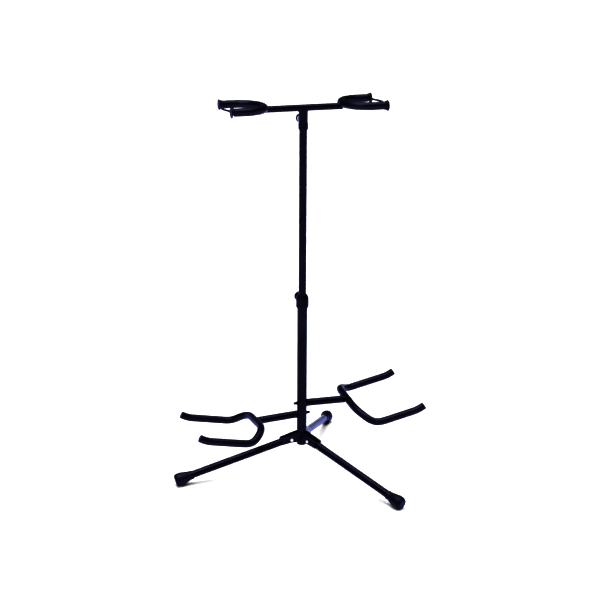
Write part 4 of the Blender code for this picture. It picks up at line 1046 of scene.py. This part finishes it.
def makeFloor():
    half = floorSpec["halfSize"]
    mesh = bpy.data.meshes.new("floor")
    mesh.from_pydata([(-half, -half, 0.0), (half, -half, 0.0), (half, half, 0.0), (-half, half, 0.0)], [],
                     [(0, 1, 2, 3)])
    material = bpy.data.materials.new("floor")
    material.use_nodes = True
    shader = material.node_tree.nodes["Principled BSDF"]
    shader.inputs["Base Color"].default_value = (*floorSpec["colour"], 1.0)
    shader.inputs["Roughness"].default_value = floorSpec["rough"]
    shader.inputs["Specular IOR Level"].default_value = 0.0
    mesh.materials.append(material)
    addObject("floor", mesh)


def makeSky():
    # white to the eye; as a light it is bright behind the stand and dim in front of it and overhead
    world = bpy.data.worlds.new("studio")
    world.use_nodes = True
    nodes, links = world.node_tree.nodes, world.node_tree.links
    direction = nodes.new("ShaderNodeTexCoord")
    parts = nodes.new("ShaderNodeSeparateXYZ")
    links.new(direction.outputs["Generated"], parts.inputs["Vector"])
    strength = nodes.new("ShaderNodeMath")
    strength.operation = "MULTIPLY"
    ramps = (("Y", skySpec["turn"], skySpec["front"], skySpec["back"]),
             ("Z", skySpec["rise"], 1.0, skySpec["top"]))
    for factor, (value, (low, high), start, end) in zip(strength.inputs, ramps):
        ramp = nodes.new("ShaderNodeMapRange")
        ramp.interpolation_type = "SMOOTHSTEP"
        for socket, number in zip(("From Min", "From Max", "To Min", "To Max"), (low, high, start, end)):
            ramp.inputs[socket].default_value = number
        links.new(parts.outputs[value], ramp.inputs["Value"])
        links.new(ramp.outputs["Result"], factor)
    ray = nodes.new("ShaderNodeLightPath")
    seen = nodes.new("ShaderNodeMix")
    seen.inputs["B"].default_value = skySpec["seen"]
    links.new(ray.outputs["Is Camera Ray"], seen.inputs["Factor"])
    links.new(strength.outputs["Value"], seen.inputs["A"])
    links.new(seen.outputs["Result"], nodes["Background"].inputs["Strength"])
    bpy.context.scene.world = world


def standing(right, over, back, spot):
    # matrix of an object whose own axes point right, over and back
    rows = np.stack((right, over, back, np.array(spot)), axis=1)
    return Matrix(np.concatenate((rows, ((0.0, 0.0, 0.0, 1.0),))).tolist())


def makeLights():
    for name, spec in lightSpec.items():
        lamp = bpy.data.lights.new(name, "AREA")
        lamp.size = spec["size"]
        lamp.energy = spec["watts"]
        along = unit(np.subtract(spec["aim"], spec["spot"]))
        across = unit(np.cross(along, upward))
        addObject(name, lamp).matrix_world = standing(across, np.cross(across, along), -along, spec["spot"])
    lamp = bpy.data.lights.new("overhead", "SUN")
    lamp.energy = overheadSpec["strength"]
    lamp.angle = overheadSpec["angle"]
    addObject("overhead", lamp).location.z = overheadSpec["height"]


def makeCamera():
    # looks along (sin yaw * cos down, cos yaw * cos down, -sin down), then rolls about that line
    spec = cameraSpec
    lens = bpy.data.cameras.new("camera")
    lens.lens = spec["lens"]
    lens.sensor_width = spec["sensor"]
    yaw, down, roll = (math.radians(spec[key]) for key in ("yaw", "down", "roll"))
    forward = np.array((math.sin(yaw) * math.cos(down), math.cos(yaw) * math.cos(down), -math.sin(down)))
    right = np.array((math.cos(yaw), -math.sin(yaw), 0.0))
    over = np.cross(right, forward)
    rolledRight = right * math.cos(roll) + over * math.sin(roll)
    rolledOver = over * math.cos(roll) - right * math.sin(roll)
    camera = addObject("camera", lens)
    camera.matrix_world = standing(rolledRight, rolledOver, -forward, spec["place"])
    bpy.context.scene.camera = camera


makeFloor()
makeSky()
makeLights()
makeCamera()
bpy.context.scene.view_settings.view_transform = viewSpec["transform"]
bpy.context.scene.view_settings.gamma = viewSpec["gamma"]
print("stage ready")
